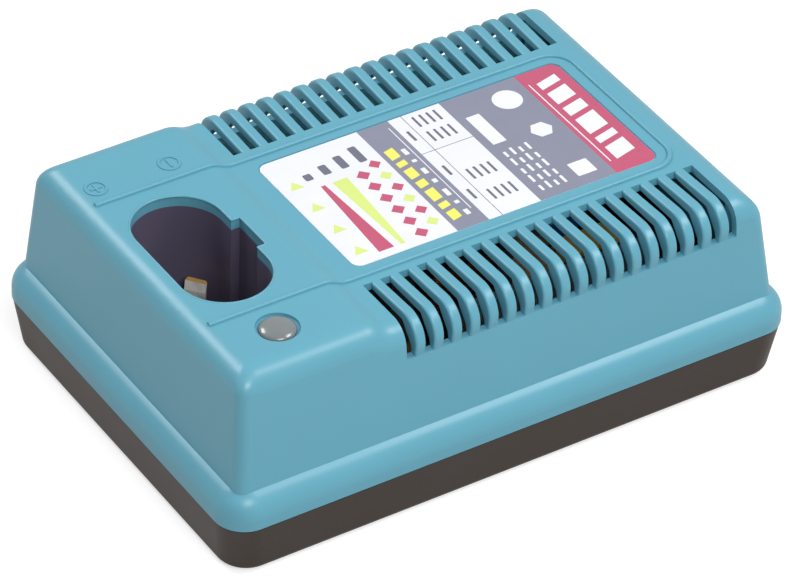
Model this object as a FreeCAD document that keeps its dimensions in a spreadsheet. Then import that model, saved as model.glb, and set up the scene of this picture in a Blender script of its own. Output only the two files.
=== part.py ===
"""Battery charger for power tools: a drafted two-part case with a deep battery socket,
vent ribs along both long sides, and the electronics that it holds.

Millimetres, +Z up. The origin is on the surface that the feet stand on, midway along the case.
+X runs from the socket end to the rear end, and -Y is the side with the lamp.
"""
import FreeCAD, Part
import math
import os
import Sketcher

Vector = FreeCAD.Vector

SIZES = {
    # case, in plan and in height above its underside
    "case_length": 190.0,
    "case_width": 131.7,
    "plan_radius": 9.5,
    "foot_proud": 0.8,
    "seam_height": 16.6,
    "lip_height": 10.3,
    "ledge_inset": 4.55,
    "lip_round": 8.0,
    "plateau_height": 63.6,
    "deck_drop": 2.5,
    "ramp_from_front": 49.0,
    "ramp_run": 9.5,
    "front_draft": 4.2,
    "rear_draft": 7.5,
    "side_draft": 6.3,
    "base_draft": 7.5,
    "upright_round": 3.5,
    "side_round": 7.0,
    "rear_round": 9.0,
    "base_round": 2.0,
    "wall": 2.5,
    "seam_gap": 0.4,
    "tongue_height": 2.0,
    "tongue_width": 1.2,
    "fit_gap": 0.2,
    # battery socket
    "socket_from_front": 28.5,
    "socket_y": -0.75,
    "socket_radius": 14.0,
    "socket_straight": 24.3,
    "socket_wall": 2.0,
    "socket_depth": 43.6,
    "key_depth": 2.8,
    "key_width": 14.3,
    "mouth_skirt": 3.6,
    # vent slots and ribs
    "slot_count": 19.0,
    "slot_first_from_front": 61.8,
    "slot_pitch": 6.04,
    "slot_width": 2.8,
    "slot_inner_from_side": 30.8,
    "slot_foot_drop": 12.8,
    "rib_rise": 0.8,
    "rib_round": 0.75,
    # raised border line
    "border_from_side": 34.45,
    "border_start_from_front": 12.6,
    "border_end_from_rear": 19.5,
    "border_radius": 8.0,
    "border_width": 1.5,
    "border_rise": 0.8,
    # label
    "label_start_from_front": 63.1,
    "label_end_from_rear": 24.1,
    "label_width": 54.4,
    "label_radius": 3.0,
    "label_thickness": 0.25,
    "label_recess": 0.45,
    "label_margin": 0.35,
    # lamp
    "lamp_from_front": 28.6,
    "lamp_from_side": 24.15,
    "lamp_ring_radius": 6.4,
    "lamp_ring_depth": 1.0,
    "lens_radius": 5.4,
    "lens_dome": 1.7,
    "lens_skirt": 4.0,
    "guide_radius": 2.8,
    "diode_radius": 2.5,
    "diode_height": 8.0,
    # polarity marks
    "mark_from_side": 27.65,
    "plus_from_front": 16.8,
    "minus_from_front": 40.8,
    "mark_radius": 3.4,
    "mark_line": 0.7,
    "mark_rise": 0.3,
    # board
    "floor": 2.5,
    "standoff": 4.0,
    "board_thickness": 1.6,
    "board_start_from_front": 9.0,
    "board_end_from_rear": 23.0,
    "board_from_side": 19.85,
    "board_screw_from_rear": 29.0,
    "board_screw_front_from_front": 55.4,
    "board_screw_from_side": 24.35,
    "sheet_thickness": 0.4,
    # screws
    "case_screw_from_rear": 12.5,
    "case_screw_from_side": 13.85,
    "case_screw_radius": 1.75,
    "case_screw_head": 3.5,
    "case_screw_length": 24.0,
    "post_radius": 4.5,
    "counterbore_depth": 8.0,
    "small_screw_radius": 1.25,
    "small_screw_head": 2.6,
    "screw_clearance": 0.05,
    # feet
    "foot_from_rear": 33.0,
    "foot_from_side": 15.85,
    "foot_radius": 6.0,
    "foot_recess": 1.0,
    # contacts
    "blade_thickness": 0.8,
    "blade_width": 6.5,
    "blade_height": 17.0,
    "blade_reach": 9.8,
    "blade_bearing": 32.0,
    "blade_turn": 38.0,
    "blade_root": 1.4,
    "blade_slot_gap": 0.35,
    "tail_length": 7.0,
    # cord inlet
    "gland_y": 25.0,
    "gland_height": 9.2,
    "gland_radius": 5.0,
    "gland_flange": 6.2,
    "gland_bore": 3.3,
    "clamp_from_rear": 16.0,
    "clamp_width": 7.0,
    "clamp_half_span": 7.5,
    # transformer
    "core_x": 14.0,
    "core_length": 42.0,
    "core_depth": 16.0,
    "core_height": 38.0,
    "core_leg": 8.0,
    "coil_gap": 0.3,
    "flange_thickness": 1.2,
    "coil_overhang": 8.0,
    # small components
    "leg": 0.7,
    "heatsink_from_rear": 67.0,
    "heatsink_y": -39.0,
    "heatsink_length": 62.0,
    "heatsink_height": 34.0,
    "fin_depth": 5.0,
    "fin_pitch": 6.2,
    "fin_thickness": 1.6,
    "heatsink_plate": 3.0,
    "package_spacing": 28.0,
    "package_width": 10.0,
    "package_lift": 5.0,
    "package_tab_height": 15.5,
    "package_tab_thickness": 1.3,
    "package_height": 9.2,
    "package_depth": 4.4,
    "package_pitch": 2.54,
    "package_hole_height": 17.6,
    "bulk_radius": 11.0,
    "bulk_height": 30.0,
    "bulk_from_front": 67.0,
    "bulk_from_side": 35.85,
    "output_radius": 6.25,
    "output_height": 25.0,
    "output_from_front": 63.0,
    "output_from_side": 32.85,
    "output_spacing": 15.0,
    "can_lead_offset": 2.5,
    "can_groove": 0.7,
    "filter_length": 18.0,
    "filter_depth": 9.0,
    "filter_height": 15.0,
    "filter_from_rear": 33.0,
    "filter_offset": 8.0,
    "varistor_radius": 5.5,
    "varistor_thickness": 4.0,
    "varistor_axis_height": 7.5,
    "varistor_offset": 10.0,
    "bridge_length": 15.0,
    "bridge_depth": 4.0,
    "bridge_height": 11.0,
    "bridge_lift": 3.0,
    "bridge_pitch": 3.8,
    "bridge_from_rear": 47.0,
    "bridge_from_side": 27.85,
    "fuse_radius": 2.4,
    "fuse_cap_radius": 2.6,
    "fuse_length": 20.0,
    "fuse_cap_length": 5.0,
    "fuse_axis_height": 4.6,
    "fuse_start_from_rear": 55.0,
    "fuse_from_side": 41.85,
    "clip_length": 3.4,
    "clip_width": 6.8,
    "clip_height": 6.4,
    "clip_mouth": 4.6,
    "chip_length": 20.0,
    "chip_width": 6.4,
    "chip_height": 3.4,
    "chip_from_front": 66.0,
    "chip_offset": 4.0,
    "chip_pitch": 2.54,
    "choke_from_rear": 41.0,
    "choke_offset": 24.0,
    "choke_length": 22.0,
    "choke_depth": 6.0,
    "choke_height": 20.0,
    "choke_leg": 4.0,
    "choke_overhang": 3.0,
}


class Size:
    """A length that carries both its value and the sheet expression that gives it."""

    def __init__(self, value, text):
        self.value = float(value)
        self.text = text

    def join(self, other, sign, value):
        text = other.text if isinstance(other, Size) else repr(float(other))
        return Size(value, "(%s %s %s)" % (self.text, sign, text))

    def __add__(self, other):
        return self.join(other, "+", self.value + number(other))

    def __sub__(self, other):
        return self.join(other, "-", self.value - number(other))

    def __mul__(self, other):
        return self.join(other, "*", self.value * number(other))

    def __truediv__(self, other):
        return self.join(other, "/", self.value / number(other))

    def __neg__(self):
        return Size(-self.value, "(0 - %s)" % self.text)


def number(size):
    """The plain value of a Size or of a number."""
    return size.value if isinstance(size, Size) else float(size)


def fill_sheet(document):
    """Put the driving dimensions in a spreadsheet and return them as Size values."""
    sheet = document.addObject("Spreadsheet::Sheet", "Sizes")
    for row, (name, value) in enumerate(SIZES.items(), start=1):
        sheet.set("A%d" % row, name)
        sheet.set("B%d" % row, repr(value))
        sheet.setAlias("B%d" % row, name)
    document.recompute()
    return {name: Size(value, "Sizes." + name) for name, value in SIZES.items()}


DOC = FreeCAD.newDocument("battery_charger")
S = fill_sheet(DOC)
PARTS = []


def bind(item, prop, size):
    """Set a property and tie it to the sheet when the size comes from there."""
    if isinstance(size, Size):
        item.setExpression(prop, size.text)
    elif "." in prop:
        item.setExpression(prop, repr(float(size)))
    else:
        setattr(item, prop, size)


def put(item, x=0.0, y=0.0, z=0.0, turn=None):
    """Place an object: an optional turn (axis, degrees), then its base point."""
    if turn is not None:
        axis, degrees = turn
        item.Placement = FreeCAD.Placement(Vector(), FreeCAD.Rotation(axis, degrees))
    bind(item, "Placement.Base.x", x)
    bind(item, "Placement.Base.y", y)
    bind(item, "Placement.Base.z", z)
    return item


def keep(item, name):
    """Name a finished sub-part and list it for export."""
    item.Label = name
    PARTS.append(item)
    return item


def box(name, length, width, height, x, y, z):
    """A box centred on x and y that stands on z."""
    item = DOC.addObject("Part::Box", name)
    bind(item, "Length", length)
    bind(item, "Width", width)
    bind(item, "Height", height)
    half_x = length / 2 if isinstance(length, Size) else Size(length / 2.0, repr(length / 2.0))
    half_y = width / 2 if isinstance(width, Size) else Size(width / 2.0, repr(width / 2.0))
    return put(item, -half_x + x, -half_y + y, z)


def rod(name, radius, height, x, y, z, turn=None):
    """A cylinder from its base point, upright unless it is turned."""
    item = DOC.addObject("Part::Cylinder", name)
    bind(item, "Radius", radius)
    bind(item, "Height", height)
    return put(item, x, y, z, turn)


def cut(name, base, *tools):
    """The base with every tool taken away."""
    item = DOC.addObject("Part::Cut", name)
    item.Base = base
    item.Tool = tools[0] if len(tools) == 1 else fuse(name + "_tools", *tools)
    return item


def fuse(name, *pieces):
    """Several overlapping pieces as one solid."""
    item = DOC.addObject("Part::MultiFuse", name)
    item.Shapes = list(pieces)
    item.Refine = True
    return item


def group(name, *pieces):
    """Separate solids kept together as one compound."""
    item = DOC.addObject("Part::Compound", name)
    item.Links = list(pieces)
    return item


def shape_object(name, shape):
    """An object that holds a shape worked out from the sheet's values."""
    item = DOC.addObject("Part::Feature", name)
    item.Shape = shape
    return item


def rounded(name, base, radius_of):
    """Fillet each edge of the base for which radius_of gives a radius."""
    DOC.recompute()
    item = DOC.addObject("Part::Fillet", name)
    item.Base = base
    chosen = []
    for index, edge in enumerate(base.Shape.Edges, start=1):
        radius = radius_of(edge)
        if radius:
            chosen.append((index, float(radius), float(radius)))
    item.Edges = chosen
    return item


def is_upright(edge):
    """True for a straight edge that runs along Z."""
    box_of = edge.BoundBox
    return box_of.ZLength > 1e-3 and box_of.XLength < 1e-3 and box_of.YLength < 1e-3


def plane_of(body, role):
    """One of a body's own origin planes."""
    return [item for item in body.Origin.OriginFeatures if item.Role == role][0]


def outline(body, name, points, role="XY_Plane", offset=0.0):
    """A closed sketch of straight lines whose corners are tied to sheet sizes."""
    sketch = body.newObject("Sketcher::SketchObject", name)
    sketch.AttachmentSupport = [(plane_of(body, role), "")]
    sketch.MapMode = "FlatFace"
    bind(sketch, "AttachmentOffset.Base.z", offset)
    flat = [Vector(number(u), number(v), 0) for u, v in points]
    count = len(flat)
    for index in range(count):
        sketch.addGeometry(Part.LineSegment(flat[index], flat[(index + 1) % count]), False)
    for index in range(count):
        sketch.addConstraint(Sketcher.Constraint("Coincident", index, 2, (index + 1) % count, 1))
    for index, (u, v) in enumerate(points):
        for kind, size in (("DistanceX", u), ("DistanceY", v)):
            place = sketch.addConstraint(Sketcher.Constraint(kind, -1, 1, index, 1, number(size)))
            if isinstance(size, Size):
                sketch.setExpression("Constraints[%d]" % place, size.text)
    return sketch


def pad(body, sketch, length, taper=None):
    """Extrude a sketch upwards, drawn in by the taper angle if one is given."""
    feature = body.newObject("PartDesign::Pad", sketch.Name + "_pad")
    feature.Profile = sketch
    bind(feature, "Length", length)
    if taper is not None:
        bind(feature, "TaperAngle", taper)
    sketch.Visibility = False
    return feature


def body_fillet(body, name, radius, chosen):
    """Fillet the edges of a body's tip that the test chooses."""
    DOC.recompute()
    tip = body.Tip
    names = ["Edge%d" % place for place, edge in enumerate(tip.Shape.Edges, start=1) if chosen(edge)]
    feature = body.newObject("PartDesign::Fillet", name)
    feature.Base = (tip, names)
    bind(feature, "Radius", radius)
    DOC.recompute()
    return feature


def new_body(name):
    """An empty PartDesign body."""
    return DOC.addObject("PartDesign::Body", name)


def screw(name, radius, head_radius, head_height, length, x, y, z, upwards=True):
    """A pan-head screw: its head's seat is at z, and its shank runs up or down from there."""
    shank_z = z if upwards else z - length
    head_z = z - head_height if upwards else z
    shank = rod(name + "_shank", radius, length, x, y, shank_z)
    head = rod(name + "_head", head_radius, head_height, x, y, head_z)
    return fuse(name, shank, head)


# heights above the surface that the feet stand on
UNDERSIDE = S["foot_proud"]
SEAM = UNDERSIDE + S["seam_height"]
LEDGE = SEAM + S["lip_height"]
PLATEAU = UNDERSIDE + S["plateau_height"]
DECK = PLATEAU - S["deck_drop"]
FLOOR_TOP = UNDERSIDE + S["floor"]
BOARD_BOTTOM = FLOOR_TOP + S["standoff"]
BOARD_TOP = BOARD_BOTTOM + S["board_thickness"]
HALF_LENGTH = S["case_length"] / 2
HALF_WIDTH = S["case_width"] / 2
SOCKET_FLOOR = PLATEAU - S["socket_depth"]
SKIRT_FOOT = PLATEAU - S["mouth_skirt"]
SIDES = (-1, 1)


def add_places():
    """Give every size that is kept from an end or a side of the case its place along X or Y, under
    the same name with _x or _y: the front end is at -X, and sides are given for +Y."""
    for name in list(SIZES):
        for ending, place in (("_from_front", "_x"), ("_from_rear", "_x"), ("_from_side", "_y")):
            if name.endswith(ending):
                half = HALF_WIDTH if place == "_y" else HALF_LENGTH
                spot = S[name] - half if ending == "_from_front" else half - S[name]
                S[name[:-len(ending)] + place] = spot
                SIZES[name[:-len(ending)] + place] = spot.value


add_places()
LAMP_Y = S["lamp_y"] * -1
BOARD_SCREW_X = {-1: S["board_screw_front_x"], 1: S["board_screw_x"]}


def wall_reach(half, inset, draft_degrees, height):
    """How far out a drafted wall of the upper case stands at a height."""
    return half - inset - math.tan(math.radians(draft_degrees)) * (height - LEDGE.value)


def section(height, shrink):
    """The upper case's straight-sided plan at a height, drawn in by shrink, as a closed wire."""
    inset = number(S["ledge_inset"]) + shrink
    front = wall_reach(HALF_LENGTH.value, inset, SIZES["front_draft"], height)
    rear = wall_reach(HALF_LENGTH.value, inset, SIZES["rear_draft"], height)
    side = wall_reach(HALF_WIDTH.value, inset, SIZES["side_draft"], height)
    corners = [Vector(-front, -side, height), Vector(rear, -side, height),
               Vector(rear, side, height), Vector(-front, side, height)]
    return Part.makePolygon(corners + corners[:1])


def deck_profile(drop, far):
    """The stepped top as a face in a vertical plane at y = -far, from the step's start to beyond the
    rear: the two heights are joined by two equal arcs, and everything above them is inside."""
    top = PLATEAU.value - drop
    low = DECK.value - drop
    step = top - low
    run = SIZES["ramp_run"]
    start = SIZES["ramp_x"]
    radius = (run * run + step * step) / (4.0 * step)
    half_turn = math.asin(run / 2.0 / radius) / 2.0
    first = Vector(start, -far, top)
    middle = Vector(start + run / 2.0, -far, (top + low) / 2.0)
    last = Vector(start + run, -far, low)
    lift = radius * (1.0 - math.cos(half_turn))
    across = radius * math.sin(half_turn)
    crest = Part.Arc(first, Vector(start + across, -far, top - lift), middle).toShape()
    trough = Part.Arc(middle, Vector(start + run - across, -far, low + lift), last).toShape()
    beyond = HALF_LENGTH.value + far
    above = top + far
    corners = [last, Vector(beyond, -far, low), Vector(beyond, -far, above), Vector(start, -far, above), first]
    sides = [Part.makeLine(one, other) for one, other in zip(corners, corners[1:])]
    return Part.Face(Part.Wire([crest, trough] + sides))


def stepped_form(name, low, shrink, top_drop, rounds):
    """A drafted block with the stepped top and rounded edges: the outside of the upper case with no
    shrink, or its inside when it is drawn in by the wall."""
    high = PLATEAU.value - top_drop
    block = Part.makeLoft([section(low, shrink), section(high, shrink)], True, True)
    reach = HALF_LENGTH.value
    above_deck = deck_profile(top_drop, reach).extrude(Vector(0, 2 * reach, 0))
    upright, side, rear = rounds

    def radius_of(edge):
        bounds = edge.BoundBox
        if bounds.ZLength > (high - low) / 2.0:
            return upright
        if bounds.ZMin < (high + low) / 2.0:
            return None
        if bounds.YLength > HALF_WIDTH.value:
            return side if edge.CenterOfMass.x < SIZES["socket_x"] else rear if bounds.XMin > 0 else None
        return side if abs(edge.CenterOfMass.y) > HALF_WIDTH.value / 2.0 else None

    return rounded(name, shape_object(name + "_block", block.cut(above_deck)), radius_of)


def stadium(name, radius, straight, height, x, y, z):
    """An upright prism with two round ends, long along Y."""
    middle = box(name + "_middle", radius * 2, straight, height, x, y, z)
    ends = [rod("%s_end_%d" % (name, index), radius, height, x, straight / 2 * side + y, z)
            for index, side in enumerate(SIDES)]
    return fuse(name, middle, *ends)


def rounded_block(name, half_x, half_y, height, z, plan_radius, top_radius):
    """A block with round plan corners and, if top_radius is given, a rounded top edge."""
    item = box(name + "_blank", half_x * 2, half_y * 2, height, 0.0, 0.0, z)
    item = rounded(name + "_plan", item, lambda edge: number(plan_radius) if is_upright(edge) else None)
    if not top_radius:
        return item
    top = number(z) + number(height)
    return rounded(name, item, lambda edge: number(top_radius) if edge.BoundBox.ZMin > top - 1e-3 else None)


def tangent_point(point, centre, radius, turn):
    """Where a line from the point touches a circle, on the side that turn (+1 or -1) gives."""
    away_u = centre[0] - point[0]
    away_v = centre[1] - point[1]
    distance = math.hypot(away_u, away_v)
    lean = math.atan2(away_v, away_u) + turn * math.asin(radius / distance)
    reach = math.sqrt(distance * distance - radius * radius)
    return (point[0] + reach * math.cos(lean), point[1] + reach * math.sin(lean))


def rib_shape():
    """One rib on the +Y side, at x = 0. Its crest leaves the deck and the side wall along straight
    lines tangent to an arc that stands proud of the case's rounded edge, and a tenon at each end
    goes into the shell's wall."""
    deck = DECK.value
    foot = PLATEAU.value - SIZES["slot_foot_drop"]
    slope = math.radians(SIZES["side_draft"])
    inset = SIZES["ledge_inset"]
    centre_z = deck - SIZES["side_round"]
    centre_y = wall_reach(HALF_WIDTH.value, inset, SIZES["side_draft"], centre_z)
    centre = (centre_y - SIZES["side_round"] / math.cos(slope), centre_z)
    crest = SIZES["side_round"] + SIZES["rib_rise"]
    inner = (SIZES["slot_inner_y"], deck)
    outer = (wall_reach(HALF_WIDTH.value, inset, SIZES["side_draft"], foot), foot)
    rise = tangent_point(inner, centre, crest, 1)
    fall = tangent_point(outer, centre, crest, -1)
    middle_angle = (math.atan2(rise[1] - centre[1], rise[0] - centre[0])
                    + math.atan2(fall[1] - centre[1], fall[0] - centre[0])) / 2.0
    middle = (centre[0] + crest * math.cos(middle_angle), centre[1] + crest * math.sin(middle_angle))
    root = SIZES["wall"]
    skin = root * 0.2
    tenon = root * 0.5

    def at(y, z):
        return Vector(0, y, z)

    corners = [at(outer[0], outer[1]), at(outer[0] - skin, outer[1]), at(outer[0] - skin, outer[1] - tenon),
               at(outer[0] - root + skin, outer[1] - tenon), at(outer[0] - root + skin, outer[1]),
               at(outer[0] - root, outer[1] + root), at(centre[0], deck - root + skin),
               at(inner[0], deck - root + skin), at(inner[0] - tenon, deck - root + skin),
               at(inner[0] - tenon, deck - skin), at(inner[0], deck - skin), at(inner[0], inner[1])]
    edges = [Part.makeLine(corners[-1], at(*rise)),
             Part.Arc(at(*rise), at(*middle), at(*fall)).toShape(),
             Part.makeLine(at(*fall), corners[0])]
    edges += [Part.makeLine(one, other) for one, other in zip(corners, corners[1:])]
    width = SIZES["slot_pitch"] - SIZES["slot_width"]
    rib = Part.Face(Part.Wire(edges)).extrude(Vector(width, 0, 0))
    rib.translate(Vector(-width / 2.0, 0, 0))
    over_arc = SIZES["side_round"] - 1e-3

    def on_crest(edge):
        """Whether an edge runs along the rib's outer face, on either flank."""
        point = edge.valueAt((edge.FirstParameter + edge.LastParameter) / 2.0)
        clear = math.hypot(point.y - centre[0], point.z - centre[1])
        return (edge.BoundBox.XLength < 1e-6 and edge.Length > root and clear > over_arc
                and (point.z > deck - 1e-3 or point.y > outer[0] - root / 2.0 - 1.0))

    crest_edges = [edge for edge in rib.Edges if on_crest(edge)]
    return rib.makeFillet(SIZES["rib_round"], crest_edges)


def ribs_and_window():
    """The opening that the vents take up on both long sides, and the ribs that divide it into slots,
    as two compounds."""
    count = int(SIZES["slot_count"])
    foot = PLATEAU.value - SIZES["slot_foot_drop"]
    rib = rib_shape()
    rib_near_side = rib.mirror(Vector(), Vector(0, 1, 0))
    start_x = SIZES["slot_first_x"] - SIZES["slot_width"] / 2.0
    windows = []
    for side in SIDES:
        start_y = SIZES["slot_inner_y"] if side > 0 else -HALF_WIDTH.value
        windows.append(Part.makeBox((count - 1) * SIZES["slot_pitch"] + SIZES["slot_width"],
                                    HALF_WIDTH.value - SIZES["slot_inner_y"], PLATEAU.value - foot + 1.0,
                                    Vector(start_x, start_y, foot)))
    ribs = []
    for index in range(count - 1):
        x = SIZES["slot_first_x"] + (index + 0.5) * SIZES["slot_pitch"]
        for blank in (rib, rib_near_side):
            copy = blank.copy()
            copy.translate(Vector(x, 0, 0))
            ribs.append(copy)
    return Part.makeCompound(windows), Part.makeCompound(ribs)


def border_shape():
    """The raised border line: an upright band in plan, open at the socket end, whose top follows the
    stepped deck a little above it."""
    half = SIZES["border_width"] / 2.0
    low = DECK.value - 1.0
    high = PLATEAU.value + SIZES["border_rise"] + 1.0

    def ring(offset):
        y = SIZES["border_y"] + offset
        end = SIZES["border_end_x"] + offset
        blank = Part.makeBox(end - SIZES["border_start_x"] + 40.0, 2 * y, high - low,
                             Vector(SIZES["border_start_x"] - 40.0, -y, low))
        rear = [edge for edge in blank.Edges if is_upright(edge) and edge.CenterOfMass.x > 0]
        return blank.makeFillet(SIZES["border_radius"] + offset, rear)

    band = ring(half).cut(ring(-half))
    ahead = Part.makeBox(60.0, 4 * HALF_WIDTH.value, 40.0,
                         Vector(SIZES["border_start_x"] - 60.0, -2 * HALF_WIDTH.value, low - 5.0))
    above = deck_profile(-SIZES["border_rise"], HALF_LENGTH.value)
    above = above.extrude(Vector(0, 2 * HALF_LENGTH.value, 0))
    over_plateau = Part.makeBox(4 * HALF_LENGTH.value, 4 * HALF_WIDTH.value, 20.0,
                                Vector(-2 * HALF_LENGTH.value, -2 * HALF_WIDTH.value,
                                       PLATEAU.value + SIZES["border_rise"]))
    line = band.cut(ahead).cut(above).cut(over_plateau)
    top = [edge for edge in line.Edges
           if edge.BoundBox.ZMin > DECK.value + SIZES["border_rise"] - 0.01 and edge.Length > 2.0]
    return line.makeFillet(SIZES["border_rise"] * 0.7, top)


def polarity_mark(x, bars):
    """A thin raised ring with a plus or a minus inside it."""
    centre = Vector(x, SIZES["mark_y"], PLATEAU.value - 0.5)
    height = SIZES["mark_rise"] + 0.5
    line = SIZES["mark_line"]
    ring = Part.makeCylinder(SIZES["mark_radius"], height, centre)
    ring = ring.cut(Part.makeCylinder(SIZES["mark_radius"] - line, height, centre))
    reach = SIZES["mark_radius"] * 1.1
    strokes = []
    for turn in range(bars):
        stroke = Part.makeBox(line, reach, height, centre - Vector(line / 2.0, reach / 2.0, 0))
        stroke.rotate(centre, Vector(0, 0, 1), 90.0 * turn)
        strokes.append(stroke)
    for stroke in strokes[1:]:
        strokes[0] = strokes[0].fuse(stroke)
    return Part.makeCompound([ring, strokes[0]])


def socket_outline(name, grow, low, high):
    """The battery stick's outline, a stadium and its key, made larger all round and drawn up from
    one height to another."""
    body = stadium(name + "_form", S["socket_radius"] + grow, S["socket_straight"], high - low,
                   S["socket_x"], S["socket_y"], low)
    key = box(name + "_key", (S["key_depth"] + grow) * 2, S["key_width"] + grow * 2, high - low,
              S["socket_x"] + S["socket_radius"], S["socket_y"], low)
    return body, key


def make_socket_sleeve():
    """The dark sleeve that guides the battery stick, held between the board and the case's skirt."""
    outer = socket_outline("sleeve_outside", S["socket_wall"], BOARD_TOP, SKIRT_FOOT)
    inner = socket_outline("sleeve_inside", 0.0, BOARD_TOP - 1.0, SKIRT_FOOT + 1.0)
    keep(cut("socket_sleeve", fuse("sleeve_solid", *outer), *inner), "socket_sleeve")


def make_upper_case():
    """The moulded upper case: drafted shell and lip, socket mouth, slots, ribs and marks."""
    wall = SIZES["wall"]
    rounds = (SIZES["upright_round"], SIZES["side_round"], SIZES["rear_round"])
    inner_rounds = tuple(max(size - wall, 1.0) for size in rounds)
    outside = stepped_form("shell_outside", SEAM.value, 0.0, 0.0, rounds)
    inside = stepped_form("shell_inside", SEAM.value, wall, wall, inner_rounds)
    lip_top = S["lip_height"] + S["lip_round"] * (1.0 - math.sqrt(1.0 - (1.0 - SIZES["ledge_inset"]
                                                                       / SIZES["lip_round"]) ** 2))
    lip = rounded_block("lip", HALF_LENGTH, HALF_WIDTH, lip_top, SEAM, S["plan_radius"], S["lip_round"])
    lip_inside = rounded_block("lip_inside", HALF_LENGTH - S["wall"], HALF_WIDTH - S["wall"],
                               lip_top - S["wall"], SEAM, S["plan_radius"] - S["wall"],
                               S["lip_round"] - S["wall"])
    skirt = socket_outline("mouth_skirt", S["socket_wall"], SKIRT_FOOT, PLATEAU - S["wall"] / 2)
    mouth = socket_outline("mouth", 0.0, SKIRT_FOOT, PLATEAU + 1.0)
    posts = []
    pilots = []
    for index, (sx, sy) in enumerate([(sx, sy) for sx in SIDES for sy in SIDES]):
        x = S["case_screw_x"] * sx
        y = S["case_screw_y"] * sy
        posts.append(rod("boss_%d" % index, S["post_radius"], PLATEAU - SEAM, x, y, SEAM))
        pilots.append(rod("pilot_%d" % index, S["case_screw_radius"] + S["screw_clearance"],
                          S["case_screw_length"], x, y, SEAM - 1.0))
    bosses = DOC.addObject("Part::MultiCommon", "bosses")
    bosses.Shapes = [fuse("boss_set", *posts), outside]
    lamp_seat = rod("lamp_seat", S["lens_radius"] + S["socket_wall"] * 1.5, S["lens_skirt"] + 1.0,
                    S["lamp_x"], LAMP_Y, PLATEAU - S["wall"] / 2 - S["lens_skirt"] - 1.0)
    ring = rod("lamp_ring", S["lamp_ring_radius"], S["lamp_ring_depth"] + 1.0, S["lamp_x"], LAMP_Y,
               PLATEAU - S["lamp_ring_depth"])
    lamp_hole = rod("lamp_hole", S["lens_radius"] + 0.1, S["lens_skirt"] * 3, S["lamp_x"], LAMP_Y,
                    PLATEAU - S["lens_skirt"] * 2.5)
    label_middle = (S["label_start_x"] + S["label_end_x"]) / 2
    label_bed = box("label_bed", S["label_end_x"] - S["label_start_x"] + S["label_margin"] * 2,
                    S["label_width"] + S["label_margin"] * 2, S["label_recess"] + 1.0,
                    label_middle, 0.0, DECK - S["label_recess"])
    label_bed = rounded("label_bed_round", label_bed,
                        lambda edge: SIZES["label_radius"] + SIZES["label_margin"] if is_upright(edge) else None)
    windows, ribs = ribs_and_window()
    hollow = cut("shell", fuse("shell_solid", outside, lip), inside, lip_inside)
    opened = cut("shell_opened", hollow, shape_object("vent_windows", windows))
    dressed = fuse("shell_dressed", opened, shape_object("border_line", border_shape()),
                   shape_object("plus_mark", polarity_mark(SIZES["plus_x"], 2)),
                   shape_object("minus_mark", polarity_mark(SIZES["minus_x"], 1)),
                   *skirt, bosses, lamp_seat)
    bored = cut("shell_bored", dressed, *mouth, ring, lamp_hole, label_bed, *pilots)
    upper = fuse("upper_case", bored, shape_object("vent_ribs", ribs))
    upper.Refine = False
    return keep(upper, "upper_case")


def tray_block(name, shrink, height, corner, foot):
    """A block that narrows downwards from the seam, with round corners and, if foot is given, a
    rounded bottom edge."""
    body = new_body(name)
    x = HALF_LENGTH - shrink
    y = HALF_WIDTH - shrink
    sketch = outline(body, name + "_outline", [(-x, -y), (x, -y), (x, y), (-x, y)],
                     offset=SEAM - S["seam_gap"])
    block = pad(body, sketch, height, -S["base_draft"])
    block.Reversed = True
    body_fillet(body, name + "_corners", corner, lambda edge: edge.BoundBox.ZLength > number(height) / 2)
    if foot:
        low = SEAM.value - SIZES["seam_gap"] - number(height)
        body_fillet(body, name + "_foot", foot, lambda edge: edge.BoundBox.ZMax < low + 1e-3)
    return body


def inlet_face():
    """Where the rear wall of the tray stands at the height of the cord inlet, less a little."""
    return HALF_LENGTH - S["foot_proud"] - 0.4


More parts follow.
